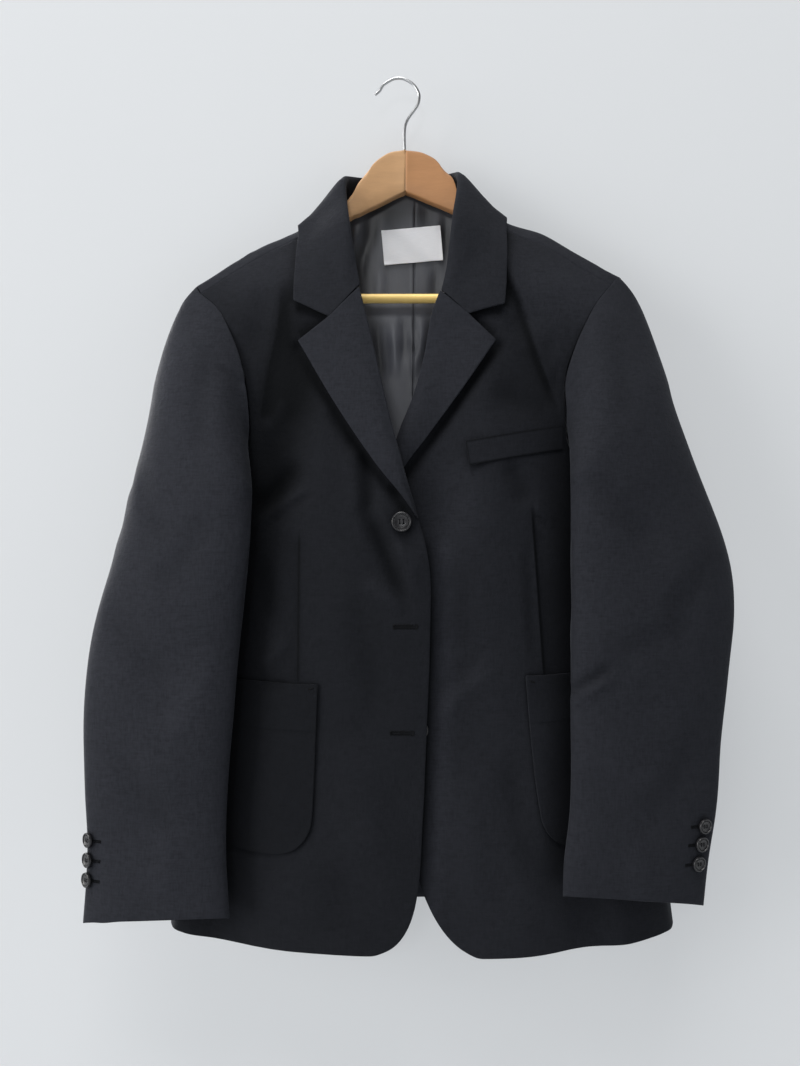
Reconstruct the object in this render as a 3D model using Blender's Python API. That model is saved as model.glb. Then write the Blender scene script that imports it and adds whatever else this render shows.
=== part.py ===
"""Single breasted blazer that hangs on a shaped wooden hanger.

The frame is in metres with +Z up. The front of the garment faces -Y and the wearer's left is +X.
The origin is the inside of the hook's bend, where a rail or a pin carries the hanger.
Tables and functions below work in millimetres. The meshes are in metres.
"""

import math

import bmesh
import bpy
import numpy as np

MM = 0.001

# Cloth, mm
CLOTH = 1.8  # wall of the faced wool
LINING = 1.0  # wall of the lining
SEAM = 0.4  # space between two pieces that are sewn to each other
LAY = 0.8  # space under a piece that lies on a panel

# Rows and columns of the panels
SIDE_ROWS = 14  # from the hem to the underarm
HEM_CROWD = 1.5  # above 1 the rows close up towards the hem
ARM_FRONT = 11  # round the armhole from the underarm to the shoulder seam, in front
ARM_BACK = 13  # and behind, over the top of the shoulder
PANEL_COLUMNS = 14
SLEEVE_ROWS = 20
SLEEVE_CAP_ROWS = 7
FRONT_SEAM_STEP = 2  # steps round the armhole from the underarm to the sleeve's front seam
BACK_SEAM_STEP = 5  # and to its elbow seam

# Body of the blazer. Each row is a level of the body.
# level z, left side x, right side x, middle x, front y at the middle, back y at the middle
BODY = (
    (-926, -249, 291, 18, -95, 20),
    (-850, -243, 281, 15, -95, 21),
    (-740, -231, 263, 13, -95, 22),
    (-600, -213, 236, 10, -96, 21),
    (-500, -206, 224, 8, -95, 20),
    (-438, -204, 219, 6, -91, 20),
    (-380, -212, 228, 5, -86, 20),
    (-320, -225, 243, 4, -77, 19),
    (-260, -238, 256, 3, -65, 18),
    (-200, -245, 262, 3, -51, 16),
    (-110, -250, 266, 3, -32, 14),
)
# Top of the shoulders: x, z
RIDGE = (
    (-224, -239),
    (-205, -225.5),
    (-184, -210),
    (-152, -190),
    (-114, -171.6),
    (-87, -150),
    (-62, -131),
    (-45, -106),
    (0, -60),
    (44, -95),
    (60, -119),
    (86, -139),
    (113, -162),
    (151.5, -176.4),
    (188.5, -200),
    (226.5, -223),
    (237.6, -229),
)
RIDGE_Y = -5  # the shoulder's top at the neck
RIDGE_FORWARD = 25  # how far it has come forward at SHOULDER_REACH
SHOULDER_REACH = 220
FRONT_ROUND = 90  # height over which the front rounds away from the top of the shoulder
BACK_ROUND = 34
FRONT_ARC = 36  # length of cloth for each radian of the shoulder's front

# Soft folds of the two fronts: from x, z to x, z, half width, height (negative is a hollow)
FRONT_FOLDS = (
    (112, -225, 128, -268, 13, -3.5),
    (128, -268, 160, -350, 14, -4.5),
    (-136, -240, -148, -296, 12, -3.0),
    (-136, -325, -146, -385, 14, -3.0),
    (-112, -395, -128, -480, 24, -3.5),
    (-10, -520, -48, -568, 12, -2.0),
    (6, -548, -40, -600, 13, 1.8),
    (-60, -760, 0, -860, 26, 2.4),
    (-40, -700, 5, -780, 20, -2.0),
    (70, -640, 96, -860, 24, -2.6),
    (150, -700, 120, -900, 22, 2.2),
    (-150, -590, -118, -640, 12, 2.4),
    (141, -480, 160, -520, 12, 2.2),
    (-190, -830, -175, -926, 16, 2.2),
    (215, -820, 230, -926, 18, 2.4),
)
BACK_FOLDS = (
    (-60, -200, -30, -420, 22, 2.2),
    (70, -205, 40, -430, 24, 2.0),
    (-120, -480, -96, -900, 26, 2.6),
    (110, -470, 96, -900, 26, 2.4),
    (-180, -500, -176, -900, 18, -2.4),
    (190, -500, 205, -900, 20, -2.2),
)

# Hem: height at the side seam and at the back's middle
HEM_SIDE = -918
HEM_BACK = -910

# Edge of the upper (right) front from the hem up to the lapel's break: x, z
OVER_EDGE = (
    (-34.8, -925.4),
    (-18.3, -921.2),
    (-1.8, -907.9),
    (8.2, -886.8),
    (13.9, -863.8),
    (18.2, -811.8),
    (22.2, -729.8),
    (25.2, -655.0),
    (27.2, -605.0),
    (26.2, -549.0),
    (24.6, -511.0),
    (14.0, -484.0),
)
# Edge of the under (left) front
UNDER_EDGE = (
    (81.9, -928.5),
    (66.7, -924.8),
    (50.6, -912.9),
    (35.5, -894.1),
    (24.4, -871.9),
    (18.4, -858.0),
    (13.0, -820.0),
    (6.0, -745.0),
    (-2.0, -660.0),
    (-9.0, -590.0),
    (-14.5, -530.0),
    (-20.0, -474.0),
)
# Roll line of each lapel from its break up to the gorge: x, z
RIGHT_ROLL = (
    (14.0, -484.0),
    (5.5, -456.0),
    (-0.5, -428.7),
    (-9.5, -396.3),
    (-21.8, -343.8),
    (-33.4, -293.1),
    (-44.8, -246.0),
)
LEFT_ROLL = (
    (-20.0, -474.0),
    (-14.0, -432.0),
    (-5.0, -400.0),
    (10.5, -360.5),
    (21.6, -319.8),
    (31.6, -268.4),
    (38.5, -250.0),
)
# Outer edge of each lapel from the break up to its tip
RIGHT_LAPEL = (
    (16.4, -487.0),
    (-0.8, -465.0),
    (-30.8, -425.8),
    (-68.4, -369.5),
    (-107.3, -302.9),
)
LEFT_LAPEL = (
    (-17.0, -480.0),
    (-2.0, -440.0),
    (26.3, -400.7),
    (61.9, -351.3),
    (95.2, -302.5),
)
RIGHT_NOTCH = (-74.7, -277.6)
LEFT_NOTCH = (66.9, -274.6)
LAPEL_ROWS = 15
LAPEL_COLUMNS = 8
TURN_COLUMNS = 5  # columns round a lapel's turn at its roll line
LAPEL_END = 0.085  # share of its length by which a lapel stops short of the break
ROLL_DEPTH = 5.0  # a lapel's cloth turns over this far at the roll line
LAPEL_LIFT = 7.5  # how far its middle stands off the chest
LAPEL_EDGE_LIFT = 4.6
UNDER_LAYER = 7.5  # the left front lies this far behind the right one
UNDER_LAYER_LAPEL = 11.5  # and this far where its lapel has to pass

# Armholes from the underarm to the top of the shoulder.
# Front rows: x, z. The last one is the end of the shoulder seam.
RIGHT_ARM_FRONT = (
    (-204, -441),
    (-183, -436),
    (-167, -424),
    (-160, -404),
    (-159.5, -385),
    (-161, -364),
    (-165, -338),
    (-173, -309),
    (-183, -285),
    (-199, -259),
    (-214.7, -246.3),
)
LEFT_ARM_FRONT = (
    (219, -435),
    (197, -431),
    (180, -421),
    (171.5, -404),
    (170, -375),
    (169.1, -345.5),
    (171.4, -332.8),
    (178.3, -310.4),
    (189.5, -285.5),
    (204.8, -257.4),
    (221.3, -237.4),
)
# Back rows: x, z. The last one is the outer end of the shoulder's top.
RIGHT_ARM_BACK = (
    (-204, -441),
    (-198, -425),
    (-193, -390),
    (-194, -340),
    (-199, -295),
    (-210, -262),
    (-222, -239.5),
)
LEFT_ARM_BACK = (
    (219, -435),
    (210, -418),
    (206, -384),
    (206, -334),
    (211, -288),
    (221, -255),
    (236, -230.5),
)

# Neckline and collar, from the right gorge round the back of the neck to the left gorge.
# foot x z side, fold x y z, leaf edge x z side, lift of the leaf's edge (side 1 is the front, -1 the back)
COLLAR = (
    (-46.8, -245.4, 1, -44.6, -63.4, -243.0, -112.5, -260.0, 1, 4.6),
    (-53.5, -226, 1, -48.6, -58.6, -220.0, -112.2, -238.0, 1, 5.0),
    (-60.5, -192, 1, -55.6, -48.0, -173.0, -111.0, -208.0, 1, 4.6),
    (-66.0, -162, 1, -60.0, -28.0, -141.0, -110.0, -181.0, 1, 5.0),
    (-67.0, -142, 1, -62.0, -11.0, -114.4, -110.0, -171.5, 1, 5.6),
    (-65.5, -135, -1, -58.5, 5.0, -105.0, -105.0, -170.0, -1, 6.0),
    (-52.0, -133, -1, -45.0, 13.0, -103.0, -84.0, -163.0, -1, 5.6),
    (-28.0, -132, -1, -24.0, 16.0, -101.5, -45.0, -154.0, -1, 5.4),
    (0.0, -131, -1, 0.0, 17.0, -101.0, 0.0, -150.0, -1, 5.2),
    (27.0, -130, -1, 23.0, 16.0, -100.0, 44.0, -150.0, -1, 5.2),
    (50.0, -126, -1, 44.0, 13.0, -100.0, 82.0, -154.0, -1, 5.4),
    (62.5, -122.5, -1, 56.5, 5.0, -101.0, 104.0, -160.0, -1, 6.0),
    (64.5, -131, 1, 59.8, -11.0, -108.9, 109.6, -163.0, 1, 5.6),
    (63.5, -156, 1, 57.8, -31.0, -134.0, 109.6, -176.0, 1, 5.0),
    (57.5, -189, 1, 52.3, -49.5, -168.0, 108.6, -206.0, 1, 4.6),
    (50.5, -229, 1, 46.0, -59.0, -222.0, 106.5, -240.0, 1, 5.0),
    (42.4, -251.1, 1, 40.2, -65.0, -249.0, 104.4, -264.0, 1, 4.6),
)
RIGHT_SHOULDER_STATION, MIDDLE_STATION, LEFT_SHOULDER_STATION = 4, 8, 12  # rows at the seams
NECK_MIDDLE = -20  # depth of the neck's middle
LEAF_DIP = 0.5  # how much the leaf dips towards the shoulder before it reaches its edge
FOLD_THIN = 0.45  # share by which the wall is thinner in the fold
COLLAR_STEPS = 2  # spaces of the collar between two rows of the table
LEAF_COLUMNS = 8
STAND_COLUMNS = 5
COLLAR_TURN = 3.2  # radius of the turn over the fold
COLLAR_CLEAR = 4.8  # the leaf stays this far off the body
GORGE_COLUMNS = 4  # columns of the leaf along the gorge seam; the rest run along its front edge
GORGE_FADE = 4  # rows over which the leaf takes up that edge
NECK_SPACE = 1.8  # the panels end this far outside the collar's foot and the lapel's turn

# Sleeves. Each row is a ring: outer x y z, inner x y z, half depth.
RIGHT_SLEEVE = (
    (-267.7, -35, -366.0, -152.0, -76, -464.8, 34),
    (-284.6, -41, -443.8, -153.0, -78, -513.0, 33),
    (-305.0, -52, -536.5, -158.5, -79, -560.8, 30),
    (-319.5, -58, -592.6, -164.0, -80, -609.8, 27),
    (-327.8, -66, -673.4, -170.5, -82, -680.6, 23),
    (-325.0, -72, -759.0, -176.0, -83, -757.5, 20),
    (-321.6, -75, -824.0, -178.0, -83, -822.4, 18.5),
    (-326.3, -76, -897.5, -174.0, -86, -888.3, 17.5),
)
LEFT_SLEEVE = (
    (288.0, -36, -366.0, 168.5, -78, -452.0, 34),
    (312.3, -42, -437.5, 168.0, -80, -502.5, 33),
    (338.0, -52, -515.5, 168.0, -84, -545.0, 31),
    (343.5, -60, -570.5, 169.0, -89, -588.8, 28),
    (335.0, -66, -645.0, 167.5, -90, -655.5, 24),
    (325.5, -71, -723.0, 168.0, -92, -726.5, 21),
    (321.0, -74, -780.5, 167.0, -93, -777.5, 18.5),
    (312.8, -76, -825.0, 161.0, -95, -822.0, 17.5),
    (307.0, -76, -879.7, 159.0, -96, -862.8, 16.5),
)
SLEEVE_FULL = 0.86  # below 1 the ring is fuller than an ellipse
SLEEVE_CLEAR = 4.6  # the sleeve lies this far off the body
POCKET_CLEAR = 3.4  # and this much more beside the pockets
POCKET_REACH = (-640, -560)  # levels between which that room opens
CAP_DEEP, CAP_SHALLOW = 140, 70  # below the shoulder's top: the sleeve clears the body wholly, not at all
UNDERARM_PASSES = 24  # how far the cloth under the arm is evened out
UNDERARM_COLUMNS = (1.5, 4.3)  # columns from the underarm over which that dies out
UNDERARM_ROWS = (6, 12)  # and rows down the sleeve
CUFF_RISE = 6.5  # the middle of the cuff, in front and behind, lies this much higher than its ends
CAP_TANGENT = 0.72  # how strongly the cap leaves the armhole, as a share of the way to the next ring
UNDERARM_TURN = 0.95  # angle by which the sleeve's inner edge lies ahead of the underarm
# Folds of the sleeves' front faces: from x, z to x, z, half width, height
SLEEVE_FOLDS = (
    (-262, -455, -205, -470, 20, 2.0),
    (-310, -600, -240, -640, 18, -2.0),
    (-200, -700, -250, -742, 20, 2.0),
    (-300, -800, -230, -826, 16, -1.6),
    (172, -668, 212, -636, 13, -2.4),
    (176, -650, 250, -606, 14, 2.4),
    (338, -560, 280, -588, 14, -2.6),
    (240, -430, 200, -500, 22, 2.2),
    (318, -740, 250, -770, 16, -2.0),
    (190, -800, 270, -830, 18, 1.6),
)

# Patch pockets: inner x at the top, inner x at the foot, outer x, top z, foot z, corner radius
RIGHT_POCKET = (-85.7, -91.5, -199.0, -654.0, -827.0, 40)
LEFT_POCKET = (124.1, 139.0, 238.0, -645.5, -821.0, 40)
POCKET_CLOTH = 1.6
POCKET_STEPS = 12  # rows and columns of a pocket
# Breast welt: inner end x, top z, outer end x, top z, height
WELT = (63.6, -408.1, 165.5, -389.6, 24.5)
WELT_SLANT = 3.6  # how far its inner end slants

# Buttons: diameter, thickness
FRONT_BUTTON = (20.0, 3.6)
CUFF_BUTTON = (15.0, 3.2)
FRONT_BUTTONS = ((-1.2, -489.6), (10.2, -594.4), (15.6, -699.0))
# Cuff buttons: height z and column of the sleeve's grid
RIGHT_CUFF_BUTTONS = ((-812.0, 14.7), (-832.0, 14.7), (-852.0, 14.7))
LEFT_CUFF_BUTTONS = ((-795.5, 13.1), (-813.5, 13.1), (-833.0, 13.1))
BUTTON_SIDES = 14

# Lining of the back: level z, right side x, left side x
LINING_SIDES = (
    (-888, -222, 262),
    (-740, -206, 236),
    (-600, -190, 212),
    (-440, -176, 190),
    (-340, -168, 180),
    (-290, -176, 190),
)
LINING_ROWS = 12
LINING_COLUMNS = 14
LINING_SPACE = 3.0  # between the back and its lining
LINING_DROP = 28  # below the top of the shoulders
LINING_TOP = -137  # and nowhere higher than this, to leave the neck free

# Label on the lining: middle x and z, width, height, turn in degrees
LABEL = (10.9, -180.2, 65.5, 38.0, 5.0)
LABEL_CLOTH = 0.8

# Hanger
WOOD = 13.0  # thickness of the board
WOOD_EDGE = 2.0  # chamfer along its lower edges
HEAD_X = 3.3
HEAD_REACH = 62  # the head's curve ends this far out from its middle
HEAD_SECTIONS = 8
ARM_START = 90  # first section beyond it
ARM_SECTIONS = 7
# Arms from the head to the tip: x from the head, top z, bottom z. The left arm rides a little higher.
RIGHT_ARM = (
    (0.4, -78.5, -125.2),
    (18, -81.5, -134.4),
    (34, -93.5, -142.8),
    (46, -109, -149),
    (54, -119.5, -153.5),
    (62, -133.5, -157.5),
    (90, -161, -183),
    (120, -182, -207),
    (155, -201, -229),
    (185, -221, -249),
    (203, -237, -256),
)
LEFT_ARM = (
    (0.4, -78.5, -125.2),
    (18, -81.5, -133.3),
    (34, -91.5, -140.6),
    (46, -106, -146.2),
    (54, -115, -150),
    (58, -126.5, -151.8),
    (90, -156, -178),
    (120, -178, -203),
    (155, -194, -225),
    (185, -213, -247),
    (203, -232, -252),
)
BAR_Z = -246.2
BAR_DIAMETER = 10.0
BAR_ENDS = (-163.0, 168.0)
BAR_SECTIONS = 9
BAR_SIDES = 14
WIRE = 3.2
# Wire of the hook from its blunt tip, round the bend, to the wood: x, z
HOOK = (
    (-30.4, -16.2),
    (-25.3, -12.2),
    (-21.5, -6.0),
    (-16.4, -2.2),
    (-10.8, 0.8),
    (-5.8, 1.9),
    (0.0, 1.6),
    (5.8, -0.8),
    (11.5, -4.6),
    (15.9, -10.2),
    (18.4, -16.6),
    (18.4, -21.1),
    (17.2, -26.8),
    (13.3, -33.1),
    (8.2, -40.0),
    (5.1, -45.1),
    (2.9, -51.5),
    (2.2, -58.9),
    (2.5, -78.0),
)
HOOK_STEPS = 2


# ---------------------------------------------------------------- curves


def smooth(table, key=0, value=1):
    """A smooth function through two columns of a table whose key column rises."""
    keys = np.array([row[key] for row in table], float)
    values = np.array([row[value] for row in table], float)
    slopes = np.gradient(values, keys)

    def at(places):
        places = np.clip(np.asarray(places, float), keys[0], keys[-1])
        low = np.clip(np.searchsorted(keys, places) - 1, 0, len(keys) - 2)
        width = keys[low + 1] - keys[low]
        t = (places - keys[low]) / width
        ends = values[low] * (1 + 2 * t) * (1 - t) ** 2 + values[low + 1] * t * t * (3 - 2 * t)
        turns = slopes[low] * t * (1 - t) ** 2 + slopes[low + 1] * t * t * (t - 1)
        return ends + width * turns

    return at


def along(points, count, start=0.0, end=1.0, crowd=1.0):
    """Samples, by length, of a smooth curve through points: even, or crowded towards its start."""
    points = np.array(points, float)
    steps = np.linalg.norm(np.diff(points, axis=0), axis=1)
    reach = np.concatenate(([0], np.cumsum(steps)))
    columns = [smooth(np.column_stack((reach, points[:, i]))) for i in range(points.shape[1])]
    fine = np.linspace(0, reach[-1], 400)
    track = np.column_stack([column(fine) for column in columns])
    length = np.concatenate(([0], np.cumsum(np.linalg.norm(np.diff(track, axis=0), axis=1))))
    wanted = (start + (end - start) * np.linspace(0, 1, count) ** crowd) * length[-1]
    return np.column_stack([np.interp(wanted, length, track[:, i]) for i in range(points.shape[1])])


def unit(vectors):
    return vectors / np.maximum(np.linalg.norm(vectors, axis=-1, keepdims=True), 1e-9)


def ease(value, low, high):
    t = np.clip((value - low) / (high - low), 0, 1)
    return t * t * (3 - 2 * t)


def fold_height(x, z, folds):
    """Sum of soft ridges and hollows, each along a straight stretch of the cloth."""
    total = np.zeros(np.broadcast(x, z).shape)
    for x0, z0, x1, z1, width, height in folds:
        dx, dz = x1 - x0, z1 - z0
        t = np.clip(((x - x0) * dx + (z - z0) * dz) / (dx * dx + dz * dz), 0, 1)
        off = (x - x0 - t * dx) ** 2 + (z - z0 - t * dz) ** 2
        total = total + height * np.exp(-off / width**2)
    return total


# ---------------------------------------------------------------- form of the body

side_left, side_right, middle, depth_front, depth_back = [smooth(BODY, 0, i) for i in range(1, 6)]
ridge = smooth(RIDGE)


def rest_line(x):
    """Depth of the shoulders' top and of the side folds."""
    return RIDGE_Y - RIDGE_FORWARD * np.minimum(1, (x / SHOULDER_REACH) ** 2)


def reach_out(x, z):
    """0 at the body's middle, 1 at its side fold, more outside it."""
    left, right, centre = side_left(z), side_right(z), middle(z)
    return np.where(x < centre, (centre - x) / (centre - left), (x - centre) / (right - centre))


def body_depth(x, z, depth, rounding):
    out = np.sqrt(1 - np.clip(reach_out(x, z), 0, 1) ** 2)
    below = np.clip((ridge(x) - z) / rounding, 0, 1)
    line = rest_line(x)
    return line + (depth(z) - line) * out * np.sqrt(1 - (1 - below) ** 2), out * below


def front_y(x, z):
    """Outer surface of the fronts."""
    x, z = np.asarray(x, float), np.asarray(z, float)
    y, fade = body_depth(x, z, depth_front, FRONT_ROUND)
    return y - fold_height(x, z, FRONT_FOLDS) * np.sqrt(fade)


def under_y(x, z):
    """Outer surface of the left front, which passes behind the right one."""
    x, z = np.asarray(x, float), np.asarray(z, float)
    layer = UNDER_LAYER + (UNDER_LAYER_LAPEL - UNDER_LAYER) * ease(z, -540, -470)
    return front_y(x, z) + layer * (1 - ease(x, 30, 95)) * (1 - ease(z, -330, -230))


def back_y(x, z):
    """Outer surface of the back."""
    x, z = np.asarray(x, float), np.asarray(z, float)
    y, fade = body_depth(x, z, depth_back, BACK_ROUND)
    return y + fold_height(x, z, BACK_FOLDS) * np.sqrt(fade)


def unrolled(x, height):
    """Point of the back at a height that runs on, by arc, over the shoulder's top and down the front."""
    top = ridge(x)
    crest = top + BACK_ROUND * (math.pi / 2 - 1)
    behind = np.clip((crest - height) / BACK_ROUND, 0, math.pi / 2)
    ahead = np.clip((height - crest) / FRONT_ARC, 0, math.pi / 2)
    low = np.minimum(height, top - BACK_ROUND)
    rounded = top - BACK_ROUND * (1 - np.cos(behind))
    over = height > crest
    z = np.where(over, top - FRONT_ROUND * (1 - np.cos(ahead)), np.where(behind < math.pi / 2, rounded, low))
    y = np.where(over, front_y(x, z), back_y(x, z))
    return np.stack((x, y, z), axis=-1)


def panel_points(flat, surface):
    """Points x, z of the plan raised on to a surface function."""
    return np.stack((flat[..., 0], surface(flat[..., 0], flat[..., 1]), flat[..., 1]), axis=-1)


def patch(inner, outer, bottom, top):
    """Coons patch: inner and outer run up in rows, bottom and top run outwards in columns."""
    rows, columns = len(inner), len(bottom)
    v = np.linspace(0, 1, rows)[:, None, None]
    u = np.linspace(0, 1, columns)[None, :, None]
    ruled = (1 - u) * inner[:, None] + u * outer[:, None] + (1 - v) * bottom[None] + v * top[None]
    corners = (1 - u) * (1 - v) * inner[0] + u * (1 - v) * outer[0]
    corners = corners + (1 - u) * v * inner[-1] + u * v * outer[-1]
    return ruled - corners


def grid_normals(points, wrap=False):
    """Unit normals of a grid of points, by central differences."""
    if wrap:
        across = np.roll(points, -1, axis=1) - np.roll(points, 1, axis=1)
    else:
        across = np.gradient(points, axis=1)
    return unit(np.cross(across, np.gradient(points, axis=0)))


def facing(normals, direction):
    """The same normals, turned to the side where most of them point along direction."""
    return normals if np.sum(normals * direction) > 0 else -normals


# ---------------------------------------------------------------- meshes


def material(name, colour, roughness, metallic=0.0):
    made = bpy.data.materials.get(name) or bpy.data.materials.new(name)
    made.use_nodes = True
    shader = made.node_tree.nodes["Principled BSDF"]
    shader.inputs["Base Color"].default_value = (*colour, 1)
    shader.inputs["Roughness"].default_value = roughness
    shader.inputs["Metallic"].default_value = metallic
    made.diffuse_color = (*colour, 1)
    return made


def finish_mesh(mesh, name, look, smooth_angle=40):
    bmesh.ops.remove_doubles(mesh, verts=mesh.verts, dist=1e-6)
    bmesh.ops.recalc_face_normals(mesh, faces=mesh.faces)
    data = bpy.data.meshes.new(name)
    mesh.to_mesh(data)
    mesh.free()
    data.shade_smooth()
    data.set_sharp_from_angle(angle=math.radians(smooth_angle))
    data.materials.append(look)
    made = bpy.data.objects.new(name, data)
    bpy.context.scene.collection.objects.link(made)
    return made


def cell(mesh, corners, turn=None):
    """Two triangles over four corners, cut along the shorter diagonal or along a given one."""
    if turn is None:
        first = (corners[0].co - corners[2].co).length
        second = (corners[1].co - corners[3].co).length
        turn = 0 if first <= second else 1
    corners = corners[turn:] + corners[:turn]
    mesh.faces.new(corners[:3])
    mesh.faces.new((corners[0], corners[2], corners[3]))
    return turn


def wall(name, outer, inward, thickness, look):
    """Closed wall between a grid of outer points and the same grid moved inwards.

    Both skins cut each cell along the same diagonal, so that they stay apart where a cell is twisted.
    """
    inner = outer + inward * thickness
    rows, columns = outer.shape[:2]
    mesh = bmesh.new()
    skins = []
    for points in (outer, inner):
        skins.append([[mesh.verts.new(points[i, j] * MM) for j in range(columns)] for i in range(rows)])
    front, behind = skins
    for i in range(rows - 1):
        for j in range(columns - 1):
            corners = (front[i][j], front[i][j + 1], front[i + 1][j + 1], front[i + 1][j])
            turn = cell(mesh, corners)
            corners = (behind[i][j], behind[i][j + 1], behind[i + 1][j + 1], behind[i + 1][j])
            cell(mesh, corners, turn)
    for i in (0, rows - 1):
        for j in range(columns - 1):
            cell(mesh, (front[i][j], front[i][j + 1], behind[i][j + 1], behind[i][j]))
    for j in (0, columns - 1):
        for i in range(rows - 1):
            cell(mesh, (front[i][j], front[i + 1][j], behind[i + 1][j], behind[i][j]))
    return finish_mesh(mesh, name, look)


def draw_in(points, left=0.0, right=0.0, low=0.0, high=0.0):
    """Moves a grid's borders towards its middle, to leave the seams open."""
    moved = points.copy()
    for amount, edge, next_in in ((left, np.s_[:, 0], np.s_[:, 1]), (right, np.s_[:, -1], np.s_[:, -2])):
        moved[edge] = moved[edge] + unit(points[next_in] - points[edge]) * amount
    for amount, edge, next_in in ((low, np.s_[0], np.s_[1]), (high, np.s_[-1], np.s_[-2])):
        moved[edge] = moved[edge] + unit(points[next_in] - points[edge]) * amount
    return moved


# ---------------------------------------------------------------- panels of the body


def spread(count):
    """Fractions from 0 to 1 that close up towards 1, where the side rounds away."""
    even = np.linspace(0, 1, count)
    return 0.7 * np.sin(even * math.pi / 2) + 0.3 * even


def unrolled_height(x, z, side):
    """Height of a point on the front, side 1, or on the back, side -1, in the back's unrolled plan."""
    top = ridge(x)
    crest = top + BACK_ROUND * (math.pi / 2 - 1)
    drop = np.maximum(top - z, 0)
    ahead = crest + FRONT_ARC * np.arccos(1 - np.minimum(drop / FRONT_ROUND, 1))
    behind = crest - BACK_ROUND * np.arccos(1 - np.minimum(drop / BACK_ROUND, 1))
    return np.where(side > 0, ahead, np.where(drop < BACK_ROUND, behind, z))


def foot_plan(first, last):
    """Collar's foot from one station to another: x, z, and the side of the shoulder it lies on."""
    stations = [surface_point(*row[0:3]) for row in COLLAR]
    foot = through(stations, COLLAR_STEPS)[first * COLLAR_STEPS : last * COLLAR_STEPS + 1]
    side = np.where(foot[:, 1] < rest_line(foot[:, 0]), 1, -1)
    return np.column_stack((foot[:, 0], foot[:, 2], side))


def shift_out(points, distance, towards):
    """Moves a line in x, z at right angles to itself, to the side that a direction points to."""
    run = unit(np.gradient(points, axis=0))
    normal = np.column_stack((run[:, 1], -run[:, 0]))
    side = np.sign(normal @ np.array(towards, float))
    return points + normal * side[:, None] * distance


def side_line(side, underarm):
    """Side seam from the hem to the underarm: x, z."""
    z = HEM_SIDE + (underarm[1] - HEM_SIDE) * np.linspace(0, 1, SIDE_ROWS) ** HEM_CROWD
    blend = ease(z, underarm[1] - 80, underarm[1])
    return np.column_stack((side(z) * (1 - blend) + underarm[0] * blend, z))


def hem_line(start, end):
    """Hem from a front edge or the centre seam out to the side seam: x, z."""
    t = spread(PANEL_COLUMNS)
    return np.column_stack((start[0] + (end[0] - start[0]) * t, start[1] + (end[1] - start[1]) * t**2))


def shoulder_seam(neck, end):
    """Shoulder seam, in front of the shoulder's top, from the neckline to the armhole: x, z."""
    t = spread(PANEL_COLUMNS)
    x = neck[0] + (end[0] - neck[0]) * t
    drop = (ridge(neck[0]) - neck[1]) * (1 - t) + (ridge(end[0]) - end[1]) * t + 6 * np.sin(math.pi * t)
    return np.column_stack((x, ridge(x) - drop))


def front_plan(edge, roll, neck, arm_front, side, away):
    """Plan x, z of a front panel: rows from the hem up, columns from the front edge out."""
    turned = shift_out(np.array(roll, float)[1:], ROLL_DEPTH / 2 + NECK_SPACE, (away, 0))
    neck = shift_out(neck[:, :2], NECK_SPACE, (away, 0))
    edge_rows = along(edge, SIDE_ROWS, crowd=HEM_CROWD)
    inner = np.vstack((edge_rows, along(np.vstack((edge[-1:], turned, neck)), ARM_FRONT)[1:]))
    arm = along(arm_front, ARM_FRONT)
    outer = np.vstack((side_line(side, arm[0]), arm[1:]))
    seam = shoulder_seam(inner[-1], outer[-1])
    return patch(inner, outer, hem_line(inner[0], outer[0]), seam)


def back_plan(neck, seam, arm_back, side, away):
    """Plan x, unrolled height of half the back: rows from the hem up, columns from the centre out."""
    heights = unrolled_height(neck[:, 0], neck[:, 1], neck[:, 2])
    line = shift_out(np.column_stack((neck[:, 0], heights)), NECK_SPACE, (away / 2, -1))
    line[0] = (neck[0, 0], heights[0] - NECK_SPACE)
    top = np.column_stack((seam[:, 0], unrolled_height(seam[:, 0], seam[:, 1], 1)))
    line[-1] = top[0]
    centre_rows = SIDE_ROWS + 5
    rise = np.linspace(0, 1, centre_rows) ** 1.2
    centre = np.column_stack((np.full(centre_rows, line[0, 0]), HEM_BACK + (line[0, 1] - HEM_BACK) * rise))
    inner = np.vstack((centre, along(line, ARM_BACK - 5)[1:]))
    arm = np.array(arm_back, float)
    arm[:, 1] = unrolled_height(arm[:, 0], arm[:, 1], -1)
    arm = along(np.vstack((arm, top[-1:])), ARM_BACK)
    outer = np.vstack((side_line(side, arm[0]), arm[1:]))
    return patch(inner, outer, hem_line(inner[0], outer[0]), top)


def side_inward(normals, away):
    """Walls meet square at the side seam, so their edges face straight in there."""
    normals[:SIDE_ROWS, -1] = (-away, 0, 0)
    return normals


def seam_inward(body_side, sleeve_side):
    """Shared direction of two walls' edges round an armhole."""
    opposed = np.sum(body_side * sleeve_side, axis=-1, keepdims=True) < -0.3
    both = unit(body_side + sleeve_side)
    return np.where(opposed, body_side, both), np.where(opposed, sleeve_side, both)


# ---------------------------------------------------------------- sleeves


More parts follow.
